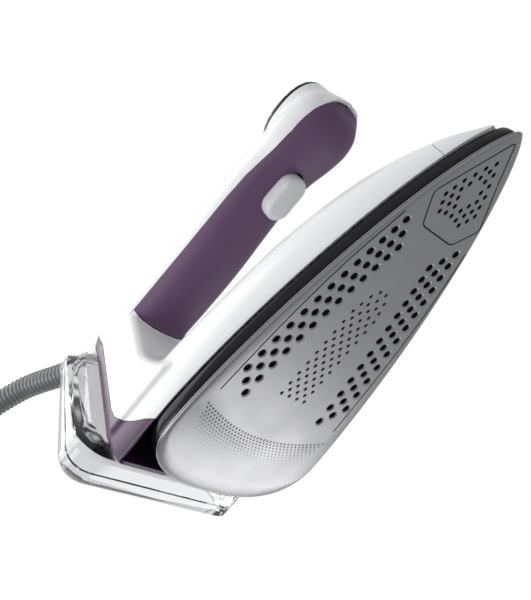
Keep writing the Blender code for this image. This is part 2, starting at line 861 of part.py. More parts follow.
def button_and_lens(button_look, lens_look):
    under = panel_board_top + gap + 0.0028 + button_travel + gap
    origin = (button_x, 0, under)
    skin = skin_top - wall - 0.0010
    body = pill("boost_button", button_x, button_length, button_width, 0, (under + 0.0005, skin_top), origin)
    crown = rounded_crown(skin_top - 0.0001)
    combine(body, crown, "UNION")
    stem = box("stem", (button_x - 0.002, -0.002, under), (button_x + 0.002, 0.002, skin))
    combine(body, stem, "UNION")
    finish(body, "boost_button", button_look)
    profile = ((lens_radius, skin_top - wall - 0.001), (lens_radius, skin_top - 0.0003))
    lens = turned("status_lens", profile, (lens_x, 0, 0), (0, 0, 1), 16)
    finish(lens, "status_lens", lens_look)


def rounded_crown(low):
    rings = []
    for rise, inset in ((0, 0.0), (0.6, 0.0004), (1.0, 0.0014)):
        size = (button_length - 2 * inset - 0.0002, button_width - 2 * inset - 0.0002)
        place = low + rise * button_proud
        rings.append(rounded_ring((button_x, 0), *size, size[1] / 2 - 0.0001, place, 5))
    return loft("crown", rings)


# --- steam line, swivel and hose ---


def along(distance):
    return swivel_base + swivel_axis * distance


def steam_tube(look):
    start = Vector((steam_inlet_x, 0, cover_top + 2 * gap))
    end = along(-0.0112)
    bend = end - swivel_axis * 0.010
    behind = nose_x - grip_rear - wall - 0.0055
    route = [
        start,
        start + Vector((0, 0, 0.014)),
        Vector((behind, 0, deck_height - 0.002)),
        Vector((behind - 0.002, 0, 0.085)),
        bend,
        end,
    ]
    points = []
    for k in range(17):
        points.append(through(route, k / 16))
    made = swept("steam_tube", points, 0.0034, 10)
    ahead = (points[-1] - points[-2]).normalized()
    longer = [points[0] - Vector((0, 0, 0.002))] + points[1:-1] + [points[-1] + ahead * 0.002]
    combine(made, swept("bore", longer, 0.0020, 10), "DIFFERENCE")
    finish(made, "steam_tube", look)


def through(route, share):
    """A point on the smooth curve through route, at a share of its number of spans."""
    place = share * (len(route) - 1)
    i = min(int(place), len(route) - 2)
    t = place - i
    before = route[max(i - 1, 0)]
    after = route[min(i + 2, len(route) - 1)]
    a, b = route[i], route[i + 1]
    bent = 2 * a + (b - before) * t + (2 * before - 5 * a + 4 * b - after) * t**2
    return (bent + (3 * a - 3 * b + after - before) * t**3) / 2


strain_start = 0.0208
strain_end = 0.0458


def swivel(white_look, clip_look, grey_look):
    dome = [(swivel_neck, -0.0100), (swivel_neck, 0.0034)]
    centre = 0.0034 + 0.0085
    for k in range(7):
        angle = math.radians(-42 + k * 14)
        dome.append((swivel_dome * math.cos(angle), centre + swivel_dome * math.sin(angle)))
    dome.append((0.0088, 0.0205))
    made = turned("hose_swivel", dome, swivel_base, swivel_axis, 28)
    bore = ((0.0045, -0.02), (0.0045, 0.03))
    combine(made, turned("bore", bore, swivel_base, swivel_axis, 20), "DIFFERENCE")
    finish(made, "hose_swivel", white_look)
    clip = tube_ring(
        "swivel_clip",
        swivel_neck + 0.0024,
        swivel_neck + gap,
        -0.0065,
        -0.0045,
        swivel_base,
        swivel_axis,
        24,
    )
    finish(clip, "swivel_clip", clip_look)
    ribs = []
    count = 6
    for k in range(count):
        place = strain_start + (strain_end - strain_start) * k / count
        step = (strain_end - strain_start) / count
        radius = 0.0088 - 0.0004 * k / count
        ribs += [(radius, place), (radius, place + 0.6 * step), (radius - 0.0007, place + 0.72 * step)]
        ribs.append((radius - 0.0007, place + 0.97 * step))
    relief = turned("strain_relief", ribs, swivel_base, swivel_axis, 24)
    finish(relief, "strain_relief", grey_look)


hose_route = (
    along(strain_end + gap),
    along(strain_end + 0.0045),
    along(strain_end + 0.0102),
    hose_start + Vector((-0.07275, -0.0002, 0.1700)),
    hose_start + Vector((-0.10535, -0.0059, 0.1793)),
    hose_start + Vector((-0.13815, -0.0211, 0.1766)),
    hose_start + Vector((-0.16345, -0.0432, 0.1615)),
    hose_start + Vector((-0.17695, -0.0673, 0.1368)),
    hose_start + Vector((-0.18005, -0.0881, 0.1058)),
    hose_start + Vector((-0.18305, -0.1006, 0.0706)),
    hose_start + Vector((-0.19725, -0.1073, 0.0363)),
    hose_start + Vector((-0.20665, -0.1085, hose_diameter + 0.0102)),
)


def hose(look, connector_look):
    path = bpy.data.curves.new("steam_hose", "CURVE")
    path.dimensions = "3D"
    path.bevel_depth = hose_diameter / 2
    path.bevel_resolution = 2
    path.use_fill_caps = True
    line = path.splines.new("POLY")
    count = 3 * (len(hose_route) - 1)
    line.points.add(count)
    for k in range(count + 1):
        line.points[k].co = (*through(hose_route, k / count), 1)
    made = bpy.data.objects.new("steam_hose", path)
    bpy.context.collection.objects.link(made)
    path.materials.append(look)

    half = (coil_outer - coil_inner) / 2
    middle = (coil_outer + coil_inner) / 2
    rings = []
    for k in range(40):
        angle = 2 * math.pi * k / 40
        out = Vector((math.cos(angle), math.sin(angle), 0))
        ring = []
        for across, high in coil_section(half):
            ring.append(coil_centre + out * (middle + across) + Vector((0, 0, high)))
        rings.append(ring)
    finish(ring_solid("hose_coil", rings), "hose_coil", look)

    base = coil_centre + Vector((-0.0153, -0.0481, hose_diameter + 0.0026))
    profile = [
        (0.0090, 0),
        (0.0105, 0.006),
        (0.0105, 0.014),
        (0.0130, 0.0145),
        (0.0130, 0.030),
        (0.0110, 0.0305),
        (0.0110, 0.038),
        (0.0070, 0.0385),
        (0.0070, connector_length),
    ]
    level = Vector((math.cos(connector_turn), math.sin(connector_turn), 0))
    axis = level * math.cos(connector_rise) + Vector((0, 0, math.sin(connector_rise)))
    plug = turned("hose_connector", profile, base, axis, 20)
    finish(plug, "hose_connector", connector_look)


def coil_section(half):
    """Outer shape of two turns lying side by side, as (across, height)."""
    high = hose_diameter
    cut = 0.0045
    return (
        (-half, cut),
        (-half + cut, 0),
        (half - cut, 0),
        (half, cut),
        (half, high - cut),
        (half - cut, high),
        (-half + cut, high),
        (-half, high - cut),
    )


def ring_solid(name, rings):
    """A closed ring through sections that go all the way round."""
    bm = bmesh.new()
    rows = [[bm.verts.new(point) for point in ring] for ring in rings]
    for a, low in enumerate(rows):
        high = rows[(a + 1) % len(rows)]
        for i in range(len(low)):
            j = (i + 1) % len(low)
            bm.faces.new((low[i], low[j], high[j], high[i]))
    return object_of(name, bm)


# --- fasteners ---


def screw(name, place, axis, head_end, tip, look):
    """A pan-head screw whose axis points from its tip to the outside of its head."""
    profile = (
        (screw_radius * 0.5, tip),
        (screw_radius, tip + 0.001),
        (screw_radius, head_end - 0.0020),
        (screw_head, head_end - 0.0019),
        (screw_head, head_end - 0.0004),
        (screw_head - 0.0006, head_end),
    )
    finish(turned(name, profile, place, axis, 12), name, look)


def fasteners(look):
    sides = ("front", "left", "right")
    for side, (back, y) in zip(sides, heater_posts):
        top = shield_top + gap + 0.0020
        screw(f"heater_screw_{side}", (nose_x - back, y, 0), (0, 0, 1), top, heater_top - 0.0035, look)
    for side, (back, y) in zip(sides, housing_posts):
        place = (nose_x - back, y, roof)
        screw(f"housing_screw_{side}", place, (0, 0, -1), 0.0020 + gap, -wall - 0.0085, look)
    for side, (y, z) in zip(("left", "right"), rest_screws):
        place = (rear_x - gap - rest_depth + 0.014, y, z)
        screw(f"heel_screw_{side}", place, (-1, 0, 0), 0.0020 + gap, -0.0185, look)


def main():
    clear_scene()
    white = material("white_gloss", (0.83, 0.84, 0.85), 0.22)
    purple = material("purple_soft", (0.115, 0.055, 0.125), 0.45)
    black = material("black_gloss", (0.012, 0.012, 0.014), 0.12)
    steel = material("sole_metal", (0.55, 0.56, 0.57), 0.30, 1.0)
    cast = material("cast_aluminium", (0.50, 0.50, 0.50), 0.55, 1.0)
    rubber = material("silicone", (0.60, 0.22, 0.10), 0.6)
    clear = material("clear_plastic", (0.90, 0.92, 0.93), 0.08, 0.0, 0.8)
    grey = material("grey_plastic", (0.42, 0.43, 0.44), 0.40)
    light = material("trigger_grey", (0.70, 0.71, 0.72), 0.30)
    zinc = material("zinc", (0.62, 0.62, 0.60), 0.35, 1.0)
    board = material("board_green", (0.03, 0.16, 0.08), 0.5)
    cream = material("ceramic", (0.75, 0.72, 0.62), 0.5)
    wire = material("wire_sleeve", (0.05, 0.05, 0.05), 0.6)
    lens = material("lens_blue", (0.10, 0.25, 0.60), 0.15)
    looks = {"white": white, "purple": purple, "black": black}
    soleplate(steel)
    heater_body(cast)
    heating_element(steel)
    steam_chamber(rubber, zinc)
    heater_fittings(zinc, cream)
    heat_shield(black)
    shells(looks)
    heel_rest(clear)
    steam_trigger(light, zinc, steel)
    electronics(board, black, wire, cream)
    button_and_lens(light, lens)
    steam_tube(rubber)
    swivel(white, zinc, grey)
    hose(grey, black)
    fasteners(zinc)


main()
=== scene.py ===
import math

import bpy
import numpy as np
from mathutils import Matrix, Vector


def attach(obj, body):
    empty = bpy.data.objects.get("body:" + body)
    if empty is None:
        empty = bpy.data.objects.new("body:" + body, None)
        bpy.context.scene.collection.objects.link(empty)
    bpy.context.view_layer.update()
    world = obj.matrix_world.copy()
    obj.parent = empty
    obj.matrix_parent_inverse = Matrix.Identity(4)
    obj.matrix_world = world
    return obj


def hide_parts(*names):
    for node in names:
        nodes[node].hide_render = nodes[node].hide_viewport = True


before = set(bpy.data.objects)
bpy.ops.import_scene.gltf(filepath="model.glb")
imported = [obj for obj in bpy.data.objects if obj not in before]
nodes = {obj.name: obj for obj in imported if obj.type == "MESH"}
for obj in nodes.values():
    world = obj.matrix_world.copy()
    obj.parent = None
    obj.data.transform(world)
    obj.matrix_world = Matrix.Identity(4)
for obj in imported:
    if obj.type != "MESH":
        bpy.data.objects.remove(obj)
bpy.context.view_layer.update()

# sizes shared by several pieces, in metres; "back" is measured from the nose tip
body = {
    "noseX": 0.13965,
    "halfSole": 0.0592,
    "widest": 0.212,
    "heelDepth": 0.036,
    "length": 0.252,
    "deckHeight": 0.0585,
    "gripRear": 0.214,
    "handleSeam": 0.1135,
}
noseX = body["noseX"]
swivelBase = Vector((noseX - 0.248, 0, 0.12))  # middle of the hose swivel
swivelAxis = Vector((-math.cos(math.radians(35)), 0, math.sin(math.radians(35))))


def deselectAll():
    for obj in bpy.context.selected_objects:
        obj.select_set(False)


def activate(obj):
    deselectAll()
    obj.select_set(True)
    bpy.context.view_layer.objects.active = obj


def startEdit(obj, mode="VERT"):
    activate(obj)
    bpy.ops.object.mode_set(mode="EDIT")
    bpy.ops.mesh.select_mode(type=mode)
    bpy.ops.mesh.select_all(action="DESELECT")


def endEdit():
    bpy.ops.object.mode_set(mode="OBJECT")


# Puts a finished piece's place into its mesh
def settle(obj):
    activate(obj)
    bpy.ops.object.transform_apply(location=True, rotation=True, scale=True)


def applyModifier(obj, kind, **settings):
    activate(obj)
    made = obj.modifiers.new(kind.title(), kind)
    for name, value in settings.items():
        setattr(made, name, value)
    bpy.ops.object.modifier_apply(modifier=made.name)


def cutWith(obj, cutter, operation="DIFFERENCE", solver="EXACT"):
    applyModifier(
        obj, "BOOLEAN", object=cutter, operation=operation, solver=solver, material_mode="TRANSFER",
    )
    bpy.data.objects.remove(cutter, do_unlink=True)


def smoothShade(obj, degrees=35):
    activate(obj)
    bpy.ops.object.shade_smooth_by_angle(angle=math.radians(degrees))


def joinInto(obj, others):
    deselectAll()
    for other in others:
        other.select_set(True)
    obj.select_set(True)
    bpy.context.view_layer.objects.active = obj
    bpy.ops.object.join()
    return obj


# A grid wrapped round: place(u, v) gives the point at a share of the way round and along
def gridShape(name, columns, rows, place, closed=True, capped=True):
    deselectAll()
    bpy.ops.mesh.primitive_grid_add(
        x_subdivisions=columns, y_subdivisions=rows, size=1, location=(0, 0, 0),
    )
    obj = bpy.context.object
    obj.name = name
    for vert in obj.data.vertices:
        vert.co = place(min(max(vert.co.x + 0.5, 0), 1), min(max(vert.co.y + 0.5, 0), 1))
    startEdit(obj)
    if closed:
        bpy.ops.mesh.select_all(action="SELECT")
        bpy.ops.mesh.remove_doubles(threshold=1e-6)
        bpy.ops.mesh.select_all(action="DESELECT")
    if capped:
        bpy.ops.mesh.select_non_manifold(
            extend=False, use_wire=False, use_multi_face=False, use_non_contiguous=False,
            use_verts=False,
        )
        bpy.ops.mesh.fill_holes(sides=0)
    bpy.ops.mesh.select_all(action="SELECT")
    bpy.ops.mesh.normals_make_consistent(inside=False)
    endEdit()
    return obj


# Profile is (radius, distance along the axis); it closes on the axis where the radius is 0
def latheShape(name, profile, base, axis, segments=48):
    turn = Vector((0, 0, 1)).rotation_difference(Vector(axis)).to_matrix()
    base = Vector(base)

    def place(u, v):
        radius, along = profile[round(v * (len(profile) - 1))]
        angle = 2 * math.pi * u
        return base + turn @ Vector((radius * math.cos(angle), radius * math.sin(angle), along))

    return gridShape(name, segments, len(profile) - 1, place)


def roundedRing(centre, length, width, radius, z, corner=8):
    points = []
    for k, (sx, sy) in enumerate(((1, 1), (-1, 1), (-1, -1), (1, -1))):
        for step in range(corner + 1):
            angle = math.pi / 2 * (k + step / corner)
            x = centre[0] + sx * (length / 2 - radius) + radius * math.cos(angle)
            y = centre[1] + sy * (width / 2 - radius) + radius * math.sin(angle)
            points.append(Vector((x, y, z)))
    return points


# A solid through rings of equally many points
def ringShape(name, rings, capped=True):
    count = len(rings[0])

    def place(u, v):
        return rings[round(v * (len(rings) - 1))][round(u * count) % count]

    return gridShape(name, count, len(rings) - 1, place, capped=capped)


def smoothCurve(table, where):
    places, values = (np.array(column, float) for column in zip(*table))
    slopes = np.gradient(values, places)
    i = int(np.clip(np.searchsorted(places, where) - 1, 0, len(places) - 2))
    span = places[i + 1] - places[i]
    t = float(np.clip((where - places[i]) / span, 0, 1))
    held = (2 * t**3 - 3 * t**2 + 1) * values[i] + (3 * t**2 - 2 * t**3) * values[i + 1]
    bent = (t**3 - 2 * t**2 + t) * slopes[i] + (t**3 - t**2) * slopes[i + 1]
    return held + span * bent


# A point on the smooth curve through route
def through(route, share):
    place = share * (len(route) - 1)
    i = min(int(place), len(route) - 2)
    t = place - i
    before, after = route[max(i - 1, 0)], route[min(i + 2, len(route) - 1)]
    a, b = route[i], route[i + 1]
    bent = 2 * a + (b - before) * t + (2 * before - 5 * a + 4 * b - after) * t**2
    return (bent + (3 * a - 3 * b + after - before) * t**3) / 2


def halfWidth(back, inset=0.0, nose=None):
    nose = 2.2 * inset if nose is None else nose
    share = np.clip((back - nose) / (body["widest"] - nose), 0, 1)
    return float((body["halfSole"] - inset) * (1 - (1 - share) ** 1.6) ** 0.7)


# Gives a piece its look, its body and the nodes it stands for
def finishPiece(obj, look, bodyName="iron", stands=()):
    settle(obj)
    if look is not None:
        obj.data.materials.clear()
        obj.data.materials.append(look)
    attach(obj, bodyName)
    if stands:
        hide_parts(*stands)
    return obj


def buildCamera():
    values = {"back": 0.033, "y": -0.427, "z": -0.317, "lens": 63.0, "sensor": 36.0}
    right = Vector((0.6308, 0.6058, -0.4848)).normalized()
    up = Vector((0.7473, -0.3061, 0.5898))
    up = (up - right * up.dot(right)).normalized()
    data = bpy.data.cameras.new("studioCamera")
    data.lens = values["lens"]
    data.sensor_width = values["sensor"]
    data.clip_start = 0.01
    data.clip_end = 30
    camera = bpy.data.objects.new("studioCamera", data)
    bpy.context.scene.collection.objects.link(camera)
    turn = Matrix((right, up, right.cross(up))).transposed()
    place = Matrix.Translation((noseX - values["back"], values["y"], values["z"]))
    camera.matrix_world = place @ turn.to_4x4()
    bpy.context.scene.camera = camera


def areaLight(name, place, aim, size, power):
    data = bpy.data.lights.new(name, "AREA")
    data.shape = "RECTANGLE"
    data.size, data.size_y = size
    data.energy = power
    light = bpy.data.objects.new(name, data)
    bpy.context.scene.collection.objects.link(light)
    light.location = place
    light.rotation_euler = (Vector(aim) - Vector(place)).to_track_quat("-Z", "Y").to_euler()


# White where the camera looks past the object, and a softer room for light and gloss
def buildWorld():
    values = {
        "down": (0.42, 0.43, 0.45, 1), "level": (0.70, 0.70, 0.71, 1), "up": (0.95, 0.95, 0.95, 1),
        "strength": 0.80,
    }
    world = bpy.data.worlds.new("studioRoom")
    bpy.context.scene.world = world
    world.use_nodes = True
    tree = world.node_tree
    tree.nodes.clear()
    output = tree.nodes.new("ShaderNodeOutputWorld")
    mix = tree.nodes.new("ShaderNodeMixShader")
    seen = tree.nodes.new("ShaderNodeBackground")
    room = tree.nodes.new("ShaderNodeBackground")
    path = tree.nodes.new("ShaderNodeLightPath")
    place = tree.nodes.new("ShaderNodeTexCoord")
    split = tree.nodes.new("ShaderNodeSeparateXYZ")
    span = tree.nodes.new("ShaderNodeMapRange")
    ramp = tree.nodes.new("ShaderNodeValToRGB")
    span.inputs["From Min"].default_value = -1
    ramp.color_ramp.elements[0].color = values["down"]
    ramp.color_ramp.elements[1].color = values["up"]
    ramp.color_ramp.elements.new(0.5).color = values["level"]
    seen.inputs["Color"].default_value = (1, 1, 1, 1)
    room.inputs["Strength"].default_value = values["strength"]
    tree.links.new(place.outputs["Generated"], split.inputs[0])
    tree.links.new(split.outputs["Z"], span.inputs["Value"])
    tree.links.new(span.outputs[0], ramp.inputs[0])
    tree.links.new(ramp.outputs[0], room.inputs["Color"])
    tree.links.new(path.outputs["Is Camera Ray"], mix.inputs[0])
    tree.links.new(room.outputs[0], mix.inputs[1])
    tree.links.new(seen.outputs[0], mix.inputs[2])
    tree.links.new(mix.outputs[0], output.inputs[0])


# A pale floor that is seen from above only, since the iron is also looked at from below
def buildFloor():
    deselectAll()
    bpy.ops.mesh.primitive_plane_add(size=6, location=(0, 0, -0.0006))
    floor = bpy.context.object
    floor.name = "studioFloor"
    look = bpy.data.materials.new("floorPaper")
    look.use_nodes = True
    tree = look.node_tree
    shader = tree.nodes["Principled BSDF"]
    shader.inputs["Base Color"].default_value = (0.86, 0.86, 0.86, 1)
    shader.inputs["Roughness"].default_value = 0.8
    clear = tree.nodes.new("ShaderNodeBsdfTransparent")
    mix = tree.nodes.new("ShaderNodeMixShader")
    side = tree.nodes.new("ShaderNodeNewGeometry")
    tree.links.new(side.outputs["Backfacing"], mix.inputs[0])
    tree.links.new(shader.outputs[0], mix.inputs[1])
    tree.links.new(clear.outputs[0], mix.inputs[2])
    tree.links.new(mix.outputs[0], tree.nodes["Material Output"].inputs[0])
    floor.data.materials.append(look)
    floor.visible_diffuse = False
    floor.visible_glossy = False
    floor.visible_shadow = False


buildCamera()
buildWorld()
buildFloor()
areaLight("keyPanel", (-0.6, -0.5, 1.4), (0, 0, 0.05), (1.2, 1.2), 12)
areaLight("sidePanel", (-0.9, -1.1, 0.25), (0, 0, 0.08), (0.9, 0.9), 9)
areaLight("lowPanel", (-0.75, 1.15, -0.80), (-0.08, 0, 0), (0.6, 0.5), 3.0)
bpy.context.scene.view_settings.view_transform = "Standard"
print("camera, light and floor are ready")


def newGroup(name, inputs, outputs):
    tree = bpy.data.node_groups.new(name, "ShaderNodeTree")
    for label, kind, value in inputs:
        socket = tree.interface.new_socket(name=label, in_out="INPUT", socket_type=kind)
        socket.default_value = value
    for label, kind in outputs:
        tree.interface.new_socket(name=label, in_out="OUTPUT", socket_type=kind)
    return tree, tree.nodes.new("NodeGroupInput"), tree.nodes.new("NodeGroupOutput")


def addMath(tree, operation, *values):
    node = tree.nodes.new("ShaderNodeMath")
    node.operation = operation
    for socket, value in zip(node.inputs, values):
        if isinstance(value, (int, float)):
            socket.default_value = value
        else:
            tree.links.new(value, socket)
    return node.outputs[0]


def noiseOn(tree, scale, detail=2.0, distortion=0.0):
    place = tree.nodes.new("ShaderNodeTexCoord")
    noise = tree.nodes.new("ShaderNodeTexNoise")
    noise.inputs["Detail"].default_value = detail
    noise.inputs["Distortion"].default_value = distortion
    tree.links.new(place.outputs["Object"], noise.inputs["Vector"])
    tree.links.new(scale, noise.inputs["Scale"])
    return noise.outputs["Fac"]


# Slow changes of gloss, as handling and moulding leave them
def makeSheenGroup():
    inputs = (
        ("Scale", "NodeSocketFloat", 30.0), ("Low", "NodeSocketFloat", 0.2),
        ("High", "NodeSocketFloat", 0.3),
    )
    tree, given, result = newGroup("sheenDrift", inputs, (("Roughness", "NodeSocketFloat"),))
    cloud = noiseOn(tree, given.outputs["Scale"], 4.0)
    span = tree.nodes.new("ShaderNodeMapRange")
    span.inputs["From Min"].default_value = 0.3
    span.inputs["From Max"].default_value = 0.7
    tree.links.new(cloud, span.inputs["Value"])
    tree.links.new(given.outputs["Low"], span.inputs["To Min"])
    tree.links.new(given.outputs["High"], span.inputs["To Max"])
    tree.links.new(span.outputs[0], result.inputs["Roughness"])
    return tree


# A colour that drifts a little between two tones
def makeTintGroup():
    inputs = (
        ("Tone A", "NodeSocketColor", (1, 1, 1, 1)), ("Tone B", "NodeSocketColor", (1, 1, 1, 1)),
        ("Scale", "NodeSocketFloat", 20.0),
    )
    tree, given, result = newGroup("tintDrift", inputs, (("Color", "NodeSocketColor"),))
    cloud = noiseOn(tree, given.outputs["Scale"], 3.0)
    mix = tree.nodes.new("ShaderNodeMix")
    mix.data_type = "RGBA"
    tree.links.new(cloud, mix.inputs["Factor"])
    tree.links.new(given.outputs["Tone A"], mix.inputs[6])
    tree.links.new(given.outputs["Tone B"], mix.inputs[7])
    tree.links.new(mix.outputs[2], result.inputs["Color"])
    return tree


# The fine tooth of a moulded or blasted surface, as a height
def makeGrainGroup():
    inputs = (("Scale", "NodeSocketFloat", 1500.0), ("Strength", "NodeSocketFloat", 1.0))
    tree, given, result = newGroup("fineGrain", inputs, (("Height", "NodeSocketFloat"),))
    cloud = noiseOn(tree, given.outputs["Scale"], 2.0)
    tree.links.new(addMath(tree, "MULTIPLY", cloud, given.outputs["Strength"]), result.inputs["Height"])
    return tree


sheenDrift = makeSheenGroup()
tintDrift = makeTintGroup()
fineGrain = makeGrainGroup()


def addGroup(tree, group, **values):
    node = tree.nodes.new("ShaderNodeGroup")
    node.node_tree = group
    for name, value in values.items():
        node.inputs[name.replace("_", " ")].default_value = value
    return node


def makeLook(
    name, toneA, toneB, low, high, grain=(1500, 0.00002), metallic=0.0, coat=0.0, transmission=0.0,
    ior=1.46, tintScale=25.0,
):
    look = bpy.data.materials.new(name)
    look.use_nodes = True
    tree = look.node_tree
    shader = tree.nodes["Principled BSDF"]
    tint = addGroup(tree, tintDrift, Tone_A=(*toneA, 1), Tone_B=(*toneB, 1), Scale=tintScale)
    sheen = addGroup(tree, sheenDrift, Scale=40.0, Low=low, High=high)
    grainNode = addGroup(tree, fineGrain, Scale=float(grain[0]), Strength=1.0)
    bump = tree.nodes.new("ShaderNodeBump")
    bump.inputs["Distance"].default_value = grain[1]
    tree.links.new(tint.outputs["Color"], shader.inputs["Base Color"])
    tree.links.new(sheen.outputs["Roughness"], shader.inputs["Roughness"])
    tree.links.new(grainNode.outputs["Height"], bump.inputs["Height"])
    tree.links.new(bump.outputs["Normal"], shader.inputs["Normal"])
    shader.inputs["Metallic"].default_value = metallic
    shader.inputs["Coat Weight"].default_value = coat
    shader.inputs["Coat Roughness"].default_value = 0.05
    shader.inputs["Transmission Weight"].default_value = transmission
    shader.inputs["IOR"].default_value = ior
    return look


allLooks = [
    makeLook("whiteShell", (0.80, 0.81, 0.82), (0.85, 0.855, 0.86), 0.20, 0.28, (900, 0.00001)),
    makeLook("softPurple", (0.105, 0.048, 0.118), (0.125, 0.060, 0.140), 0.42, 0.52, (2600, 0.00008)),
    makeLook("deepPurple", (0.060, 0.022, 0.066), (0.072, 0.028, 0.080), 0.24, 0.34, (2200, 0.00003)),
    makeLook(
        "blackGloss", (0.004, 0.004, 0.005), (0.008, 0.008, 0.010), 0.10, 0.18, (700, 0.00001),
        ior=1.30,
    ),
    # Painted shade: near black for the bores of the steam holes and the grooves in the sole
    makeLook("paintedRecessShade", (0.004, 0.004, 0.004), (0.010, 0.010, 0.010), 0.55, 0.75, (900, 0.00003)),
    makeLook("greyTrigger", (0.66, 0.67, 0.68), (0.71, 0.72, 0.73), 0.28, 0.36, (1800, 0.00002)),
    makeLook(
        "clearPlastic", (0.93, 0.94, 0.96), (0.96, 0.97, 0.98), 0.03, 0.07, (500, 0.00001),
        transmission=1.0, ior=1.50,
    ),
    makeLook(
        "castMetal", (0.42, 0.42, 0.43), (0.52, 0.52, 0.52), 0.45, 0.65, (500, 0.0003),
        metallic=1.0,
    ),
    # Bright metal for small inner parts; the same brighter metal on the sole's edge is a painted
    # highlight
    makeLook(
        "brightMetalAndEdgeHighlight", (0.60, 0.60, 0.61), (0.68, 0.68, 0.68), 0.20, 0.32, (1200, 0.00003),
        metallic=1.0,
    ),
    makeLook(
        "zincMetal", (0.52, 0.53, 0.55), (0.64, 0.62, 0.56), 0.30, 0.45, (800, 0.00005),
        metallic=1.0,
    ),
    makeLook("silicone", (0.50, 0.16, 0.07), (0.58, 0.20, 0.09), 0.45, 0.60, (900, 0.00008)),
    makeLook("boardGreen", (0.015, 0.11, 0.05), (0.03, 0.16, 0.08), 0.30, 0.45, (400, 0.00006)),
    makeLook("ceramic", (0.66, 0.62, 0.50), (0.74, 0.70, 0.60), 0.45, 0.60, (700, 0.00006)),
    makeLook("switchBlack", (0.02, 0.02, 0.02), (0.035, 0.035, 0.035), 0.40, 0.55, (1200, 0.00006)),
    makeLook("wireSleeve", (0.02, 0.02, 0.022), (0.05, 0.05, 0.05), 0.50, 0.65, (1500, 0.0001)),
    makeLook("lensBlue", (0.10, 0.25, 0.60), (0.14, 0.32, 0.68), 0.10, 0.16, (700, 0.00001), coat=0.5),
    makeLook(
        "hoseGrey", (0.17, 0.175, 0.18), (0.24, 0.245, 0.25), 0.24, 0.38, (1200, 0.00005),
        metallic=0.25,
    ),
    makeLook("reliefGrey", (0.52, 0.53, 0.54), (0.60, 0.61, 0.62), 0.30, 0.42, (1500, 0.00004)),
    makeLook("connectorBlack", (0.02, 0.02, 0.022), (0.035, 0.035, 0.038), 0.30, 0.45, (1400, 0.00006)),
]
looks = {look.name: look for look in allLooks}
print("shared finishes are ready")


hose = {
    "diameter": 0.015,
    "coilCentre": Vector((-0.3350, -0.0220, 0)),
    "outerTurn": 0.0875,
    "innerTurn": 0.0725,
    "leadTurn": 0.060,
    "height": 0.0081,
    "connectorTurn": math.radians(160),
    "connectorRise": math.radians(8),
    "pitch": 0.0034,  # from one rib to the next
    "ribDepth": 0.0010,
}


def alongAxis(distance):
    return swivelBase + swivelAxis * distance


def coilPoint(angle, radius, height):
    return hose["coilCentre"] + Vector((radius * math.cos(angle), radius * math.sin(angle), height))


def connectorAxis():
    turn, rise = hose["connectorTurn"], hose["connectorRise"]
    return Vector((math.cos(turn) * math.cos(rise), math.sin(turn) * math.cos(rise), math.sin(rise)))


# The hose's centreline: up and over the heel, down to the floor, round the coil and into the connector
def hoseRoute():
    free = [
        alongAxis(0.0400), alongAxis(0.0461), alongAxis(0.0560), Vector((-0.1811, -0.0002, 0.1700)),
        Vector((-0.2137, -0.0059, 0.1793)), Vector((-0.2465, -0.0211, 0.1766)),
        Vector((-0.2718, -0.0432, 0.1615)),
        Vector((-0.2853, -0.0673, 0.1368)), Vector((-0.2884, -0.0881, 0.1058)),
        Vector((-0.2914, -0.1006, 0.0706)),
        Vector((-0.3056, -0.1073, 0.0363)),
        coilPoint(math.radians(-90), hose["outerTurn"], hose["height"]),
    ]
    start = math.radians(-90)
    turns = []
    for step in range(1, 61):
        swept = math.radians(10 * step)
        shift = np.clip((swept - math.radians(290)) / math.radians(70), 0, 1)
        shift = shift * shift * (3 - 2 * shift)
        radius = hose["outerTurn"] + (hose["innerTurn"] - hose["outerTurn"]) * shift
        turns.append(coilPoint(start - swept, radius, hose["height"]))
    last = start - math.radians(600)
    middle = coilPoint(last, hose["innerTurn"] - hose["leadTurn"], hose["height"])
    lead = []
    for step in range(1, 15):
        angle = last - math.radians(10 * step)
        rise = Vector((0, 0, 0.0087 * (step / 14) ** 2))
        lead.append(middle + hose["leadTurn"] * Vector((math.cos(angle), math.sin(angle), 0)) + rise)
    lead.append(lead[-1] + connectorAxis() * 0.007)
    return free + turns + lead


# Points a fixed step apart along the smooth curve through route
def evenPoints(route, step):
    fine = [through(route, k / (12 * (len(route) - 1))) for k in range(12 * (len(route) - 1) + 1)]
    lengths = np.cumsum([0] + [(b - a).length for a, b in zip(fine, fine[1:])])
    count = int(lengths[-1] / step)
    table = np.array([tuple(point) for point in fine])
    places = np.linspace(0, lengths[-1], count + 1)
    return [
        Vector([np.interp(place, lengths, table[:, axis]) for axis in range(3)])
        for place in places
    ], float(lengths[-1])


# A tube whose radius changes from point to point, with no twist
def sweptTube(name, points, radii, sides):
    frames = []
    side = None
    for i, point in enumerate(points):
        ahead = (points[min(i + 1, len(points) - 1)] - points[max(i - 1, 0)]).normalized()
        if side is None:
            side = ahead.cross(Vector((0, 0, 1))).normalized()
        side = (side - ahead * side.dot(ahead)).normalized()
        frames.append((point, side, ahead.cross(side)))

    def place(u, v):
        i = round(v * (len(points) - 1))
        point, across, over = frames[i]
        angle = 2 * math.pi * u
        return point + radii[i] * (across * math.cos(angle) + over * math.sin(angle))

    return gridShape(name, sides, len(points) - 1, place)


def buildHose():
    ribs = 5  # points in each rib
    points, length = evenPoints(hoseRoute(), hose["pitch"] / ribs)
    low = hose["diameter"] / 2 - hose["ribDepth"]
    shape = (0.0, 0.75, 1.0, 0.75, 0.0)
    radii = [low + hose["ribDepth"] * shape[i % ribs] for i in range(len(points))]
    tube = sweptTube("corrugatedHose", points, radii, 14)
    smoothShade(tube, 60)
    finishPiece(tube, looks["hoseGrey"], "iron", ("steam_hose", "hose_coil"))
    return tube, points, length


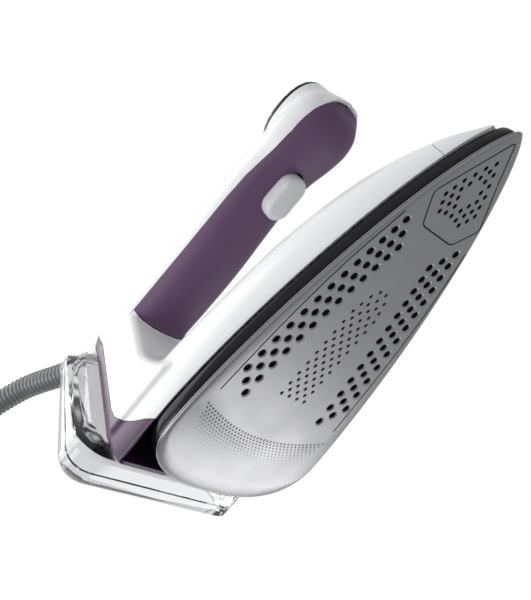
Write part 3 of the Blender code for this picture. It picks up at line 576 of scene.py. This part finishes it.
def buildConnector():
    base = hose["coilCentre"] + Vector((-0.0153, -0.0481, 0.0176))
    profile = [
        (0, 0), (0.0078, 0), (0.0086, 0.0006), (0.0092, 0.002), (0.0098, 0.0050), (0.0102, 0.006),
        (0.0102, 0.0138), (0.0104, 0.0142),
        (0.0124, 0.0145), (0.0129, 0.0150), (0.0129, 0.0175), (0.0122, 0.0178), (0.0122, 0.0195),
        (0.0129, 0.0198), (0.0129, 0.0222),
        (0.0122, 0.0225), (0.0122, 0.0242), (0.0129, 0.0245), (0.0129, 0.0295), (0.0125, 0.0300),
        (0.0110, 0.0304), (0.0108, 0.0310),
        (0.0108, 0.0378), (0.0103, 0.0383), (0.0071, 0.0386), (0.0069, 0.0392), (0.0069, 0.0440),
        (0.0060, 0.0443), (0.0060, 0.0462),
        (0.0069, 0.0465), (0.0069, 0.0512), (0.0064, 0.0518), (0.0040, 0.0519), (0.0038, 0.0514),
        (0.0038, 0.0420), (0, 0.0420),
    ]
    piece = latheShape("baseConnector", profile, base, connectorAxis(), 40)
    smoothShade(piece, 40)
    return finishPiece(piece, looks["connectorBlack"], "iron", ("hose_connector",))


# The ribbed boot that carries the hose out of the swivel
def buildRelief():
    start, end, count = 0.0206, 0.0455, 9
    profile = [(0, start), (0.0084, start)]
    step = (end - start - 0.001) / count
    for k in range(count):
        outer = 0.0086 - 0.00005 * k
        low = start + 0.0006 + k * step
        for radius, share in (
            (outer - 0.0003, 0.0), (outer, 0.12), (outer, 0.55), (outer - 0.0003, 0.66),
            (outer - 0.0009, 0.70), (outer - 0.0009, 0.96),
        ):
            profile.append((radius, low + share * step))
    profile += [(0.0079, end), (0.0070, end), (0, end)]
    piece = latheShape("hoseBoot", profile, swivelBase, swivelAxis, 48)
    smoothShade(piece, 40)
    return finishPiece(piece, looks["reliefGrey"], "swivel", ("strain_relief",))


hosePiece, hosePath, hoseLength = buildHose()
connectorPiece = buildConnector()
buildRelief()
print("hose length", round(hoseLength, 3))
centreLine = [tuple(point) for point in hosePath]
print("hose, coil and connector are ready")


# Rows of small dots that follow the heel and fade out towards it; the mask is 1 inside a dot
def makeDotGroup():
    values = {
        "first": 206.0, "rise": 0.004, "row": 1.95, "rows": 9.5, "column": 2.75, "large": 0.75,
        "small": 0.2, "reach": 50.0, "narrower": 0.6,
    }
    tree, given, result = newGroup(
        "dotCrescent", (("Soft Edge", "NodeSocketFloat", 0.06),), (("Mask", "NodeSocketFloat"),),
    )
    place = tree.nodes.new("ShaderNodeTexCoord")
    split = tree.nodes.new("ShaderNodeSeparateXYZ")
    tree.links.new(place.outputs["Object"], split.inputs[0])
    back = addMath(
        tree, "SUBTRACT", noseX * 1000, addMath(tree, "MULTIPLY", split.outputs["X"], 1000.0),
    )
    across = addMath(tree, "MULTIPLY", split.outputs["Y"], 1000.0)
    bent = addMath(
        tree, "ADD", back,
        addMath(tree, "MULTIPLY", addMath(tree, "MULTIPLY", across, across), values["rise"]),
    )
    rowPlace = addMath(tree, "DIVIDE", addMath(tree, "SUBTRACT", bent, values["first"]), values["row"])
    row = addMath(tree, "ROUND", rowPlace)
    rowOff = addMath(tree, "MULTIPLY", addMath(tree, "SUBTRACT", rowPlace, row), values["row"])
    shifted = addMath(
        tree, "ADD", addMath(tree, "DIVIDE", across, values["column"]),
        addMath(tree, "MULTIPLY", row, 0.5),
    )
    columnOff = addMath(
        tree, "MULTIPLY", addMath(tree, "SUBTRACT", shifted, addMath(tree, "ROUND", shifted)),
        values["column"],
    )
    squares = addMath(
        tree, "ADD", addMath(tree, "MULTIPLY", rowOff, rowOff),
        addMath(tree, "MULTIPLY", columnOff, columnOff),
    )
    away = addMath(tree, "SQRT", squares)
    shrink = (values["large"] - values["small"]) / 9
    radius = addMath(tree, "SUBTRACT", values["large"], addMath(tree, "MULTIPLY", row, shrink))
    inside = addMath(
        tree, "DIVIDE", addMath(tree, "SUBTRACT", radius, away), given.outputs["Soft Edge"],
    )
    inside = addMath(tree, "MINIMUM", addMath(tree, "MAXIMUM", inside, 0.0), 1.0)
    lowRow = addMath(tree, "GREATER_THAN", rowPlace, -0.5)
    highRow = addMath(tree, "LESS_THAN", rowPlace, values["rows"])
    reach = addMath(
        tree, "SUBTRACT", values["reach"], addMath(tree, "MULTIPLY", row, values["narrower"]),
    )
    wide = addMath(tree, "LESS_THAN", addMath(tree, "ABSOLUTE", across), reach)
    mask = addMath(
        tree, "MULTIPLY", addMath(tree, "MULTIPLY", inside, wide),
        addMath(tree, "MULTIPLY", lowRow, highRow),
    )
    tree.links.new(mask, result.inputs["Mask"])
    return tree


def makeSoleLook():
    values = {
        "toneA": (0.36, 0.36, 0.375), "toneB": (0.40, 0.40, 0.41), "low": 0.30, "high": 0.36,
        "metallic": 0.9,
    }
    look = makeLook(
        "soleMetal", values["toneA"], values["toneB"], values["low"], values["high"],
        (2600, 0.00002), metallic=values["metallic"],
    )
    tree = look.node_tree
    shader = tree.nodes["Principled BSDF"]
    dots = addGroup(tree, makeDotGroup())
    tint = shader.inputs["Base Color"].links[0].from_socket
    mix = tree.nodes.new("ShaderNodeMix")
    mix.data_type = "RGBA"
    mix.inputs[7].default_value = (0.05, 0.05, 0.055, 1)
    tree.links.new(dots.outputs["Mask"], mix.inputs["Factor"])
    tree.links.new(tint, mix.inputs[6])
    tree.links.new(mix.outputs[2], shader.inputs["Base Color"])
    return look


# One ring of the sole's outline, walked from the nose along one side and back along the other
def outlineRing(z, inset=0.0, nose=None, heel=None, count=72):
    first = 2.2 * inset if nose is None else nose
    depth = body["heelDepth"] - (inset if heel is None else heel)
    last = body["widest"] + depth
    side = []
    for k in range(count + 1):
        share = k / count
        if share < 0.72:
            back = first + (body["widest"] - first) * (share / 0.72) ** 1.7
            side.append((back, halfWidth(back, inset, first)))
        else:
            angle = math.pi / 2 * (share - 0.72) / 0.28
            wide = (body["halfSole"] - inset) * max(math.cos(angle), 0) ** (2 / 2.6)
            side.append((body["widest"] + depth * math.sin(angle) ** (2 / 2.6), wide))
    side[0] = (first, 0.0)
    side[-1] = (last, 0.0)
    points = [Vector((noseX - back, y, z)) for back, y in side]
    return points + [Vector((point.x, -point.y, z)) for point in reversed(points[1:-1])]


# (back, y) of the steam holes: the tip's ring, the middle field, and the bands along both sides
def holePlaces():
    tip = [
        (19.1, 0), (24.1, 0), (24.2, 4.1), (29.3, 2.5), (29.7, 7.4), (34.7, 5.9), (35.1, 10.9),
        (39.4, 8.25), (40.6, 13.1),
        (43.55, 5.65), (44.7, 10.6), (45.6, 15.2), (47.85, 3), (48.55, 7.95), (49.9, 12.8),
        (52.5, 0), (52.95, 5.15), (54.1, 9.85),
    ]
    middle = [
        (123.4, 6.6), (122.6, 0), (119.2, 4.2), (119.9, 9.85), (116.3, 0), (114.6, 8.35),
        (113.1, 3.7), (109.3, 0), (108.8, 6.4), (104.45, 2.65),
    ]
    for k in range(15):
        middle += [(127 + 3.535 * k, y) for y in ((3.35, 9.95) if k % 2 == 0 else (0, 6.6))]
    small = [(back / 1000, y / 1000, 0.0013) for back, y in tip] + [
        (back / 1000, y / 1000, 0.0010)
        for back, y in middle
    ]
    bands = []
    for row in range(15):
        back = 0.067 + 0.0071 * row + 0.00013 * row**2
        share = min(back / body["widest"], 1)
        edge = 0.815 * 0.0575 * (1 - (1 - share) ** 1.5) ** 0.75
        for column in range(3):
            if column <= row <= column + 12:
                bands.append((back - column * (0.00028 * row + 0.0001), edge - 0.0066 * column, 0.0021))
    return [
        (back, side * y, radius)
        for back, y, radius in small + bands
        for side in ((1, -1) if y else (1,))
    ]


# A steam hole as a cutter: a dished mouth below a bore painted near black, painted shade for a deep
# hole
def holeCutter(radius, steps):
    dish = radius * (1.35 if radius > 0.0015 else 1.22)
    profile = [(0, -0.001), (dish + 0.0004, -0.001), (dish + 0.0001, -0.0002), (dish, 0.00002)]
    profile += [
        (dish - (dish - radius) * 0.5, 0.00018), (radius, 0.00055), (radius, 0.0019), (0, 0.0019),
    ]
    piece = latheShape("holeCutter", profile, (0, 0, 0), (0, 0, 1), steps)
    piece.data.materials.append(looks["soleMetal"])
    piece.data.materials.append(looks["paintedRecessShade"])
    for face in piece.data.polygons:
        if face.center.z > 0.0006:
            face.material_index = 1
    return piece


# A level path through corners, each rounded
def roundedPath(corners, radius, closed=False, steps=6):
    count = len(corners)
    points = []
    for k in range(count):
        here = Vector(corners[k])
        if not closed and k in (0, count - 1):
            points.append(here)
            continue
        before = (Vector(corners[k - 1]) - here).normalized() * radius
        after = (Vector(corners[(k + 1) % count]) - here).normalized() * radius
        for step in range(steps + 1):
            t = step / steps
            points.append(here + before * (1 - t) ** 2 + after * t**2)
    return points


def grooveCutter(points):
    values = {"radius": 0.00042, "sides": 8}
    route = [Vector((noseX - back / 1000, y / 1000, 0)) for back, y in points]
    return sweptTube("grooveCutter", route, [values["radius"]] * len(route), values["sides"])


def buildSole():
    values = {"thickness": 0.0026, "groove": 0.0006}
    rings = [
        outlineRing(0, 0.0019, heel=0.0130), outlineRing(0.00012, 0.0012, heel=0.0105),
        outlineRing(0.0004, 0.0006, heel=0.0078),
        outlineRing(0.0008, 0.0002, heel=0.0050), outlineRing(0.0012, 0, heel=0.0030),
        outlineRing(0.0015, 0, heel=0.0018),
        outlineRing(0.0016, values["groove"], heel=0.0022),
        outlineRing(0.0020, values["groove"], heel=0.0014),
        outlineRing(0.0021, 0.0001, heel=0.0006), outlineRing(values["thickness"], 0.0001, heel=0.0001),
    ]
    sole = ringShape("soleplateFace", rings)
    sole.data.materials.append(looks["soleMetal"])
    sole.data.materials.append(looks["paintedRecessShade"])
    moulds = {
        0.0021: holeCutter(0.0021, 24), 0.0013: holeCutter(0.0013, 16),
        0.0010: holeCutter(0.0010, 14),
    }
    cutters = []
    for back, y, radius in holePlaces():
        one = moulds[radius].copy()
        one.data = moulds[radius].data.copy()
        bpy.context.collection.objects.link(one)
        one.location = (noseX - back, y, 0)
        cutters.append(one)
    for mould in moulds.values():
        bpy.data.objects.remove(mould, do_unlink=True)
    cutters.append(
        grooveCutter(
            roundedPath(
                [
                    (27, 12.2), (5.2, 0.2), (48, -23.9), (64.6, -13.3), (64.7, 15.8), (50.3, 26.4),
                    (27.4, 12.5),
                ],
                3.0,
            )
        )
    )
    for side in (1, -1):
        cutters.append(
            grooveCutter(
                [
                    (
                        187 - 12.35 * k,
                        side * smoothCurve(
                            ((63, 30.6), (100, 39.6), (140, 45.4), (187, 49.4)), 187 - 12.35 * k,
                        ),
                    )
                    for k in range(11)
                ]
            )
        )
    # The grooves' faces take the near black painted shade as well
    for one in cutters:
        for slot in range(2 - len(one.data.materials)):
            one.data.materials.append(looks["paintedRecessShade"])
    cutter = joinInto(cutters[0], cutters[1:])
    cutWith(sole, cutter)
    smoothShade(sole, 32)
    settle(sole)
    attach(sole, "iron")
    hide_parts("soleplate")
    return sole


# The glossy black trim between the sole and the housing
def buildSkirt():
    rings = [
        outlineRing(0.0030, 0.0020), outlineRing(0.0032, 0.0013), outlineRing(0.0037, 0.0010),
        outlineRing(0.0060, 0.0008),
        outlineRing(0.0100, 0.0011), outlineRing(0.0114, 0.0014), outlineRing(0.0119, 0.0020),
        outlineRing(0.0119, 0.0046),
        outlineRing(0.0032, 0.0046), outlineRing(0.0030, 0.0040),
    ]
    skirt = ringShape("skirtTrim", rings + rings[:1], capped=False)
    smoothShade(skirt, 40)
    finishPiece(skirt, looks["blackGloss"], "iron")
    # A lip of brighter metal than the sole along its upper edge, a painted highlight for the bright
    # line at the sole's rim
    edge = ringShape(
        "soleEdgeHighlight",
        [
            outlineRing(0.0026, 0.0012), outlineRing(0.0026, 0.0004), outlineRing(0.0029, 0.0004),
            outlineRing(0.0029, 0.0012), outlineRing(0.0026, 0.0012),
        ],
        capped=False,
    )
    finishPiece(edge, looks["brightMetalAndEdgeHighlight"], "iron")


looks["soleMetal"] = makeSoleLook()
buildSole()
buildSkirt()
print("soleplate and skirt are ready")


deckProfile = (
    (0, 0.22), (0.04, 0.31), (0.09, 0.47), (0.15, 0.61), (0.22, 0.74), (0.32, 0.86), (0.43, 0.94),
    (0.62, 0.98), (0.80, 1), (1, 1),
)
handleValues = {
    "front": 0.046, "length": 0.206, "width": 0.041, "bottom": 0.0985, "top": 0.1335,
    # share of the length, rise of the underside, rise of the top, width as a share
    "profile": (
        (0.000, 0.0110, -0.0200, 0.35), (0.018, 0.0030, -0.0130, 0.72),
        (0.050, -0.0025, -0.0080, 1.00), (0.100, -0.0045, -0.0060, 1.15),
        (0.165, -0.0020, -0.0045, 1.18), (0.240, 0.0015, -0.0025, 1.08),
        (0.320, 0.0025, -0.0005, 1.02), (0.420, 0.0010, 0.0004, 1.00),
        (0.560, -0.0010, 0.0000, 1.00), (0.700, -0.0005, 0.0000, 1.02),
        (0.850, 0.0015, 0.0000, 1.04), (0.960, 0.0030, -0.0010, 1.04),
        (1.000, 0.0060, -0.0045, 0.92),
    ),
}


def deckHeight(back):
    return body["deckHeight"] * smoothCurve(deckProfile, back / body["length"])


def signedPower(value, power):
    return math.copysign(abs(value) ** power, value)


# The body under the handle: rounded shoulders over a straight foot
def archShape():
    values = {"first": 0.0045, "foot": 0.0123, "below": 0.006, "round": 0.78}

    def place(u, v):
        back = values["first"] + (body["length"] - values["first"]) * v**1.3
        wide = halfWidth(min(back, body["widest"])) - 0.0003
        if u > values["round"]:
            share = (u - values["round"]) / (1 - values["round"])
            y = wide * (2 * share - 1)
            return Vector((noseX - back, y, values["foot"] - values["below"]))
        angle = math.pi * u / values["round"]
        z = values["foot"] + (deckHeight(back) - values["foot"]) * math.sin(angle) ** 0.8
        return Vector((noseX - back, wide * signedPower(math.cos(angle), 0.85), z))

    return gridShape("archShape", 100, 70, place)


# The flared column at the rear that carries the handle
def pillarShape():
    values = {"low": 0.030, "high": 0.1235, "foot": 0.018, "corner": 0.005}
    rings = []
    for k in range(20):
        z = values["low"] + (values["high"] - values["low"]) * k / 19
        foot = values["foot"] * max(0, 1 - (z - values["low"]) / 0.038) ** 1.5
        start, rear = body["gripRear"] + 0.0007 - foot, body["length"] + 0.0002
        half = body["halfSole"] - 0.0022 - (z - 0.035) * 0.445
        rings.append(
            roundedRing((noseX - (start + rear) / 2, 0), rear - start, 2 * half, values["corner"], z)
        )
    return ringShape("pillarShape", rings)


def handleShape():
    table = handleValues["profile"]

    def place(u, v):
        share = (1 - math.cos(math.pi * v)) / 2
        low = handleValues["bottom"] + smoothCurve([row[:2] for row in table], share)
        high = handleValues["top"] + smoothCurve([(row[0], row[2]) for row in table], share)
        half = handleValues["width"] / 2 * smoothCurve([(row[0], row[3]) for row in table], share)
        back = handleValues["front"] + (handleValues["length"] - 0.0006) * share
        angle = 2 * math.pi * u
        y = half * signedPower(math.cos(angle), 0.85)
        return Vector(
            (noseX - back, y, (low + high) / 2 + signedPower(math.sin(angle), 0.85) * (high - low) / 2)
        )

    return gridShape("handleShape", 64, 60, place)


# The upright front of the handle, which carries the control panel
def headShape():
    values = {"x": 0.0695, "length": 0.0475, "width": 0.0345, "squareness": 0.86}
    rings = []
    for z, grow in (
        (0.104, 0.003), (0.111, 0.002), (0.118, 0.0008), (0.124, 0), (0.1329, 0), (0.1336, -0.0004),
    ):
        ring = []
        for k in range(72):
            angle = 2 * math.pi * k / 72
            x = (values["length"] / 2 + grow) * signedPower(math.cos(angle), values["squareness"])
            y = (values["width"] / 2 + grow) * signedPower(math.sin(angle), values["squareness"])
            ring.append(Vector((values["x"] + x, y, z)))
        rings.append(ring)
    return ringShape("headShape", rings)


# Arch, column, handle and head joined, then softened where they meet
def wholeBody():
    values = {"voxel": 0.0013, "smooth": 9}
    whole = archShape()
    cutWith(whole, pillarShape(), "UNION")
    cutWith(whole, handleShape(), "UNION")
    cutWith(whole, headShape(), "UNION")
    applyModifier(whole, "REMESH", mode="VOXEL", voxel_size=values["voxel"])
    applyModifier(whole, "SMOOTH", factor=0.5, iterations=values["smooth"])
    return whole


def sliceSkin(obj, place, normal):
    startEdit(obj)
    bpy.ops.mesh.select_all(action="SELECT")
    bpy.ops.mesh.bisect(plane_co=place, plane_no=normal, use_fill=False)
    endEdit()


# The part of the skin whose faces lie inside a region, given a wall
def shellFrom(whole, name, inside, look, thickness=0.0022):
    piece = whole.copy()
    piece.data = whole.data.copy()
    piece.name = name
    bpy.context.collection.objects.link(piece)
    startEdit(piece, "FACE")  # also deselects everything
    endEdit()
    for face in piece.data.polygons:
        face.select = not inside(noseX - face.center.x, face.center.z)
    activate(piece)
    bpy.ops.object.mode_set(mode="EDIT")
    bpy.ops.mesh.delete(type="FACE")
    endEdit()
    applyModifier(piece, "SOLIDIFY", thickness=thickness, offset=-1, use_even_offset=False)
    smoothShade(piece, 40)
    piece.data.materials.clear()
    piece.data.materials.append(look)
    return piece


def plugProfile(radius, start, end):
    return [(0, start), (radius, start), (radius, end), (0, end)]


def pillShape(name, x, length, width, low, high, steps=12):
    return ringShape(
        name,
        [roundedRing((x, 0), length, width, width / 2 - 0.0001, z, steps) for z in (low, high)],
    )


def settleShell(piece, slot):
    settle(piece)
    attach(piece, "iron")
    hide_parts(slot)


def buildShells():
    seams = {
        "half": 0.00022, "nose": 0.032, "rear": 0.243, "split": 0.0785, "panelEnd": 0.100,
        "panel": 0.1299, "floor": 0.0124,
    }
    # the seam between the housing and the rear cover, as (back, height)
    bend = (
        (0.243, 0.200), (0.243, 0.046), (0.2415, 0.037), (0.2375, 0.0290), (0.2320, 0.0225),
        (0.2255, 0.0170), (0.2200, 0.0110), (0.2150, 0.0050),
    )
    # the seam between the grip and the handle's top, lower round the head
    dip = (
        (0.030, 0.1045), (0.060, 0.1035), (0.075, 0.1040), (0.086, 0.1062), (0.098, 0.1095),
        (0.112, 0.1125), (0.128, 0.1135), (0.300, 0.1135),
    )
    half, grip, seam = seams["half"], body["gripRear"], body["handleSeam"]
    near = half * 0.98  # a face this far from a sloping seam still lies in its gap
    whole = wholeBody()
    for back in (seams["nose"], seams["rear"], seams["panelEnd"], grip):
        for side in (-half, half):
            sliceSkin(whole, (noseX - back + side, 0, 0), (1, 0, 0))
    for line in (bend[1:], dip):
        for (backA, lowA), (backB, lowB) in zip(line, line[1:]):
            across = Vector((lowA - lowB, 0, backA - backB)).normalized()
            for side in (-half, half):
                sliceSkin(whole, Vector((noseX - backA, 0, lowA)) + across * side, across)
    for side in (-half, half):
        sliceSkin(whole, (0, 0, seams["panel"] + side), (0, 0, 1))
    sliceSkin(whole, (0, 0, seams["floor"]), (0, 0, 1))

    # Distance from a seam, above nought on its left when walked from its first point
    def leftOf(line, back, z):
        nearest = 1.0
        for (backA, lowA), (backB, lowB) in zip(line, line[1:]):
            span = Vector((backB - backA, lowB - lowA))
            away = Vector((back - backA, z - lowA))
            share = min(max(away.dot(span) / span.length_squared, 0), 1)
            signed = math.copysign((away - span * share).length, span.x * away.y - span.y * away.x)
            nearest = min(nearest, signed, key=abs)
        return nearest

    def beyondBend(back, z):
        return leftOf(bend, back, z)

    def inNose(back, z):
        return back < seams["nose"] - half and seams["floor"] < z < seams["split"]

    def inPanel(back, z):
        return back < seams["panelEnd"] - half and z > seams["panel"] + half

    def inTop(back, z):
        behind = back < seams["rear"] - half and z > seams["split"] and leftOf(dip, back, z) > near
        return behind and not (back < seams["panelEnd"] + half and z > seams["panel"] - half)

    def inGrip(back, z):
        return back < grip - half and seams["split"] < z and leftOf(dip, back, z) < -near

    def inCover(back, z):
        return z > seams["floor"] and beyondBend(back, z) > near

    def inHousing(back, z):
        if not seams["floor"] < z < seam - half or back < seams["nose"] + half:
            return False
        if beyondBend(back, z) > -near:
            return False
        return z < seams["split"] or back > grip + half

    nose = shellFrom(whole, "noseShell", inNose, looks["whiteShell"])
    panel = shellFrom(whole, "controlPanelSkin", inPanel, looks["blackGloss"])
    top = shellFrom(whole, "handleTopSkin", inTop, looks["whiteShell"])
    gripPiece = shellFrom(whole, "gripSkin", inGrip, looks["softPurple"])
    housing = shellFrom(whole, "housingShell", inHousing, looks["whiteShell"])
    cover = shellFrom(whole, "rearSkin", inCover, looks["deepPurple"])
    bpy.data.objects.remove(whole, do_unlink=True)

    trigger = {"x": 0.03275, "length": 0.0308, "width": 0.0171, "low": 0.088, "high": 0.1062}
    button = {"x": 0.06665, "length": 0.0176, "width": 0.0131}
    lens = {"x": 0.05365, "radius": 0.0019}
    swivelHole = {
        "seatStart": 0.0030, "seatRadius": 0.0123, "boreRadius": 0.0068, "boreReach": 0.02,
        "room": 0.0098, "roomReach": 0.01,
    }
    low, high = 0.125, 0.150  # from below the panel to above it
    cutWith(
        gripPiece,
        pillShape(
            "opening", trigger["x"], trigger["length"], trigger["width"], trigger["low"],
            trigger["high"],
        ),
    )
    cutWith(panel, pillShape("buttonHole", button["x"], button["length"], button["width"], low, high))
    cutWith(
        panel,
        latheShape(
            "lensHole", plugProfile(lens["radius"], 0, 0.02), (lens["x"], 0, low), (0, 0, 1), 24,
        ),
    )
    seat = plugProfile(swivelHole["seatRadius"], swivelHole["seatStart"], 0.03)
    bore = plugProfile(swivelHole["boreRadius"], -swivelHole["boreReach"], swivelHole["boreReach"])
    room = plugProfile(swivelHole["room"], -swivelHole["roomReach"], swivelHole["roomReach"])
    cutWith(cover, latheShape("seat", seat, swivelBase, swivelAxis, 48))
    cutWith(cover, latheShape("bore", bore, swivelBase, swivelAxis, 40))
    cutWith(top, latheShape("room", room, swivelBase, swivelAxis, 40))
    for piece in (gripPiece, panel, cover, top):
        smoothShade(piece, 40)
    settleShell(nose, "nose_cap")
    settleShell(panel, "control_panel")
    settleShell(top, "handle_top_shell")
    settleShell(gripPiece, "handle_grip")
    settleShell(housing, "main_housing")
    settleShell(cover, "rear_cover")


buildShells()
print("body shells are ready")


def buildTrigger():
    values = {"x": 0.03215, "length": 0.0290, "width": 0.0165, "low": 0.0932, "top": 0.1062}
    rings = []
    for rise, inset in (
        (0, 0.0040), (0.0002, 0.0026), (0.0006, 0.0015), (0.0012, 0.0007), (0.0020, 0.0002),
        (0.0030, 0), (values["top"] - values["low"], 0),
    ):
        size = (values["length"] - 2 * inset, values["width"] - 2 * inset)
        rings.append(
            roundedRing((values["x"], 0), *size, size[1] / 2 - 0.0001, values["low"] + rise, 10)
        )
    piece = ringShape("triggerKey", rings)
    smoothShade(piece, 50)
    finishPiece(piece, looks["greyTrigger"], "trigger", ("steam_trigger",))


def buildButton():
    values = {"x": 0.06665, "length": 0.017, "width": 0.0125, "low": 0.1300}
    rings = []
    for z, inset in (
        (values["low"], 0), (0.1340, 0), (0.1344, 0.0002), (0.1347, 0.0006), (0.1349, 0.0014),
        (0.1348, 0.0032), (0.1345, 0.0052),
    ):
        size = (values["length"] - 2 * inset, values["width"] - 2 * inset)
        rings.append(roundedRing((values["x"], 0), *size, size[1] / 2 - 0.0001, z, 10))
    piece = ringShape("boostKey", rings)
    smoothShade(piece, 50)
    finishPiece(piece, looks["greyTrigger"], "button", ("boost_button",))


def buildLens():
    profile = [
        (0, 0.1300), (0.0015, 0.1300), (0.0016, 0.1304), (0.0016, 0.1335), (0.0013, 0.1339),
        (0.0007, 0.1341), (0, 0.1341),
    ]
    piece = latheShape("statusLens", profile, (0.05365, 0, 0), (0, 0, 1), 24)
    smoothShade(piece, 50)
    finishPiece(piece, looks["lensBlue"], "iron", ("status_lens",))


def buildSwivel():
    profile = [(0.0044, -0.0098), (0.0065, -0.0098), (0.0065, 0.0034)]
    for k in range(15):
        angle = math.radians(-42 + 6 * k)
        profile.append((0.0120 * math.cos(angle), 0.0119 + 0.0120 * math.sin(angle)))
    profile += [
        (0.0090, 0.0200), (0.0088, 0.0204), (0.0076, 0.0204), (0.0044, 0.0200), (0.0044, -0.0098),
    ]
    turn = Vector((0, 0, 1)).rotation_difference(swivelAxis).to_matrix()

    def place(u, v):
        radius, along = profile[round(v * (len(profile) - 1))]
        angle = 2 * math.pi * u
        return swivelBase + turn @ Vector((radius * math.cos(angle), radius * math.sin(angle), along))

    piece = gridShape("swivelDome", 56, len(profile) - 1, place, capped=False)
    smoothShade(piece, 45)
    finishPiece(piece, looks["whiteShell"], "swivel", ("hose_swivel",))


# A rounded trapezium standing across the iron and leaning forward towards its top
def restRing(x, inset, lean=0.0, steps=12):
    values = {"low": 0.0255, "high": 0.1245, "foot": 0.0720, "head": 0.032}
    low, high = values["low"] + inset, values["high"] - inset
    foot, head = values["foot"] - inset, values["head"] - 0.8 * inset
    corners = ((foot, low, 0.020), (head, high, 0.010), (-head, high, 0.010), (-foot, low, 0.020))
    points = []
    for k, (y, z, radius) in enumerate(corners):
        here = Vector((0, y, z))
        first = here + (Vector((0, *corners[k - 1][:2])) - here).normalized() * radius
        last = here + (Vector((0, *corners[(k + 1) % 4][:2])) - here).normalized() * radius
        for step in range(steps + 1):
            t = step / steps
            bent = first * (1 - t) ** 2 + here * 2 * t * (1 - t) + last * t**2
            points.append(Vector((x + lean * (bent.z - values["low"]), bent.y, bent.z)))
    return points


def buildRest():
    values = {"front": noseX - body["length"] - 0.0003, "depth": 0.027, "rim": 0.0075, "lean": 0.13}
    front, back, lean = values["front"], values["front"] - values["depth"], values["lean"]
    rings = [
        restRing(front, 0.0065), restRing(front - 0.0055, 0.0047, 0.1 * lean),
        restRing(front - 0.0062, 0.0040, 0.1 * lean),
        restRing(front - 0.0105, 0.0006, 0.18 * lean), restRing(front - 0.0112, 0.0001, 0.2 * lean),
        restRing(front - 0.0175, 0, 0.55 * lean),
        restRing(front - 0.0180, 0.0008, 0.6 * lean), restRing(front - 0.0190, 0.0008, 0.66 * lean),
        restRing(front - 0.0195, 0, 0.7 * lean),
        restRing(back + 0.0012, 0, lean), restRing(back + 0.0004, 0.0004, lean),
        restRing(back, 0.0013, lean),
    ]
    rest = ringShape("clearRest", rings)
    pocket = ringShape(
        "pocket",
        [
            restRing(back - 0.01, values["rim"], lean),
            restRing(back + 0.006, values["rim"] + 0.0002, lean * 0.7),
            restRing(back + 0.0135, values["rim"] + 0.0008),
        ],
    )
    cutWith(rest, pocket)
    cutWith(
        rest,
        latheShape(
            "notch", [(0, -0.004), (0.0125, -0.004), (0.0135, 0.060), (0, 0.060)], swivelBase,
            swivelAxis, 48,
        ),
    )
    for y in (0.030, -0.030):  # the two screws
        cutWith(
            rest,
            latheShape(
                "bore", plugProfile(0.0019, -0.05, 0.01), (noseX - body["length"], y, 0.042),
                (1, 0, 0), 24,
            ),
        )
    smoothShade(rest, 30)
    finishPiece(rest, looks["clearPlastic"], "iron", ("heel_rest",))


buildTrigger()
buildButton()
buildLens()
buildSwivel()
buildRest()
print("trigger, button, swivel and heel rest are ready")


lookNodes = {  # a part that is not named here is zinc
    "castMetal": "heater_body",
    "brightMetalAndEdgeHighlight": "heating_element trigger_pin trigger_spring",
    "silicone": "chamber_gasket steam_tube",
    "blackGloss": "heat_shield control_panel",
    "ceramic": "thermal_fuse terminal_block",
    "boardGreen": "control_board panel_board",
    "switchBlack": "trigger_switch button_switch",
    "wireSleeve": "wiring_harness",
    "lensBlue": "status_lens",
    "reliefGrey": "strain_relief",
    "soleMetal": "soleplate",
    "whiteShell": "nose_cap main_housing handle_top_shell hose_swivel",
    "deepPurple": "rear_cover",
    "softPurple": "handle_grip",
    "clearPlastic": "heel_rest",
    "greyTrigger": "steam_trigger boost_button",
    "hoseGrey": "steam_hose hose_coil",
    "connectorBlack": "hose_connector",
}
nodeLooks = {name: look for look, names in lookNodes.items() for name in names.split()}
for name, node in nodes.items():
    look = looks[nodeLooks.get(name, "zincMetal")]
    for slot in range(len(node.data.materials)):
        node.data.materials[slot] = look
    if not node.data.materials:
        node.data.materials.append(look)
print("every part has its finish")
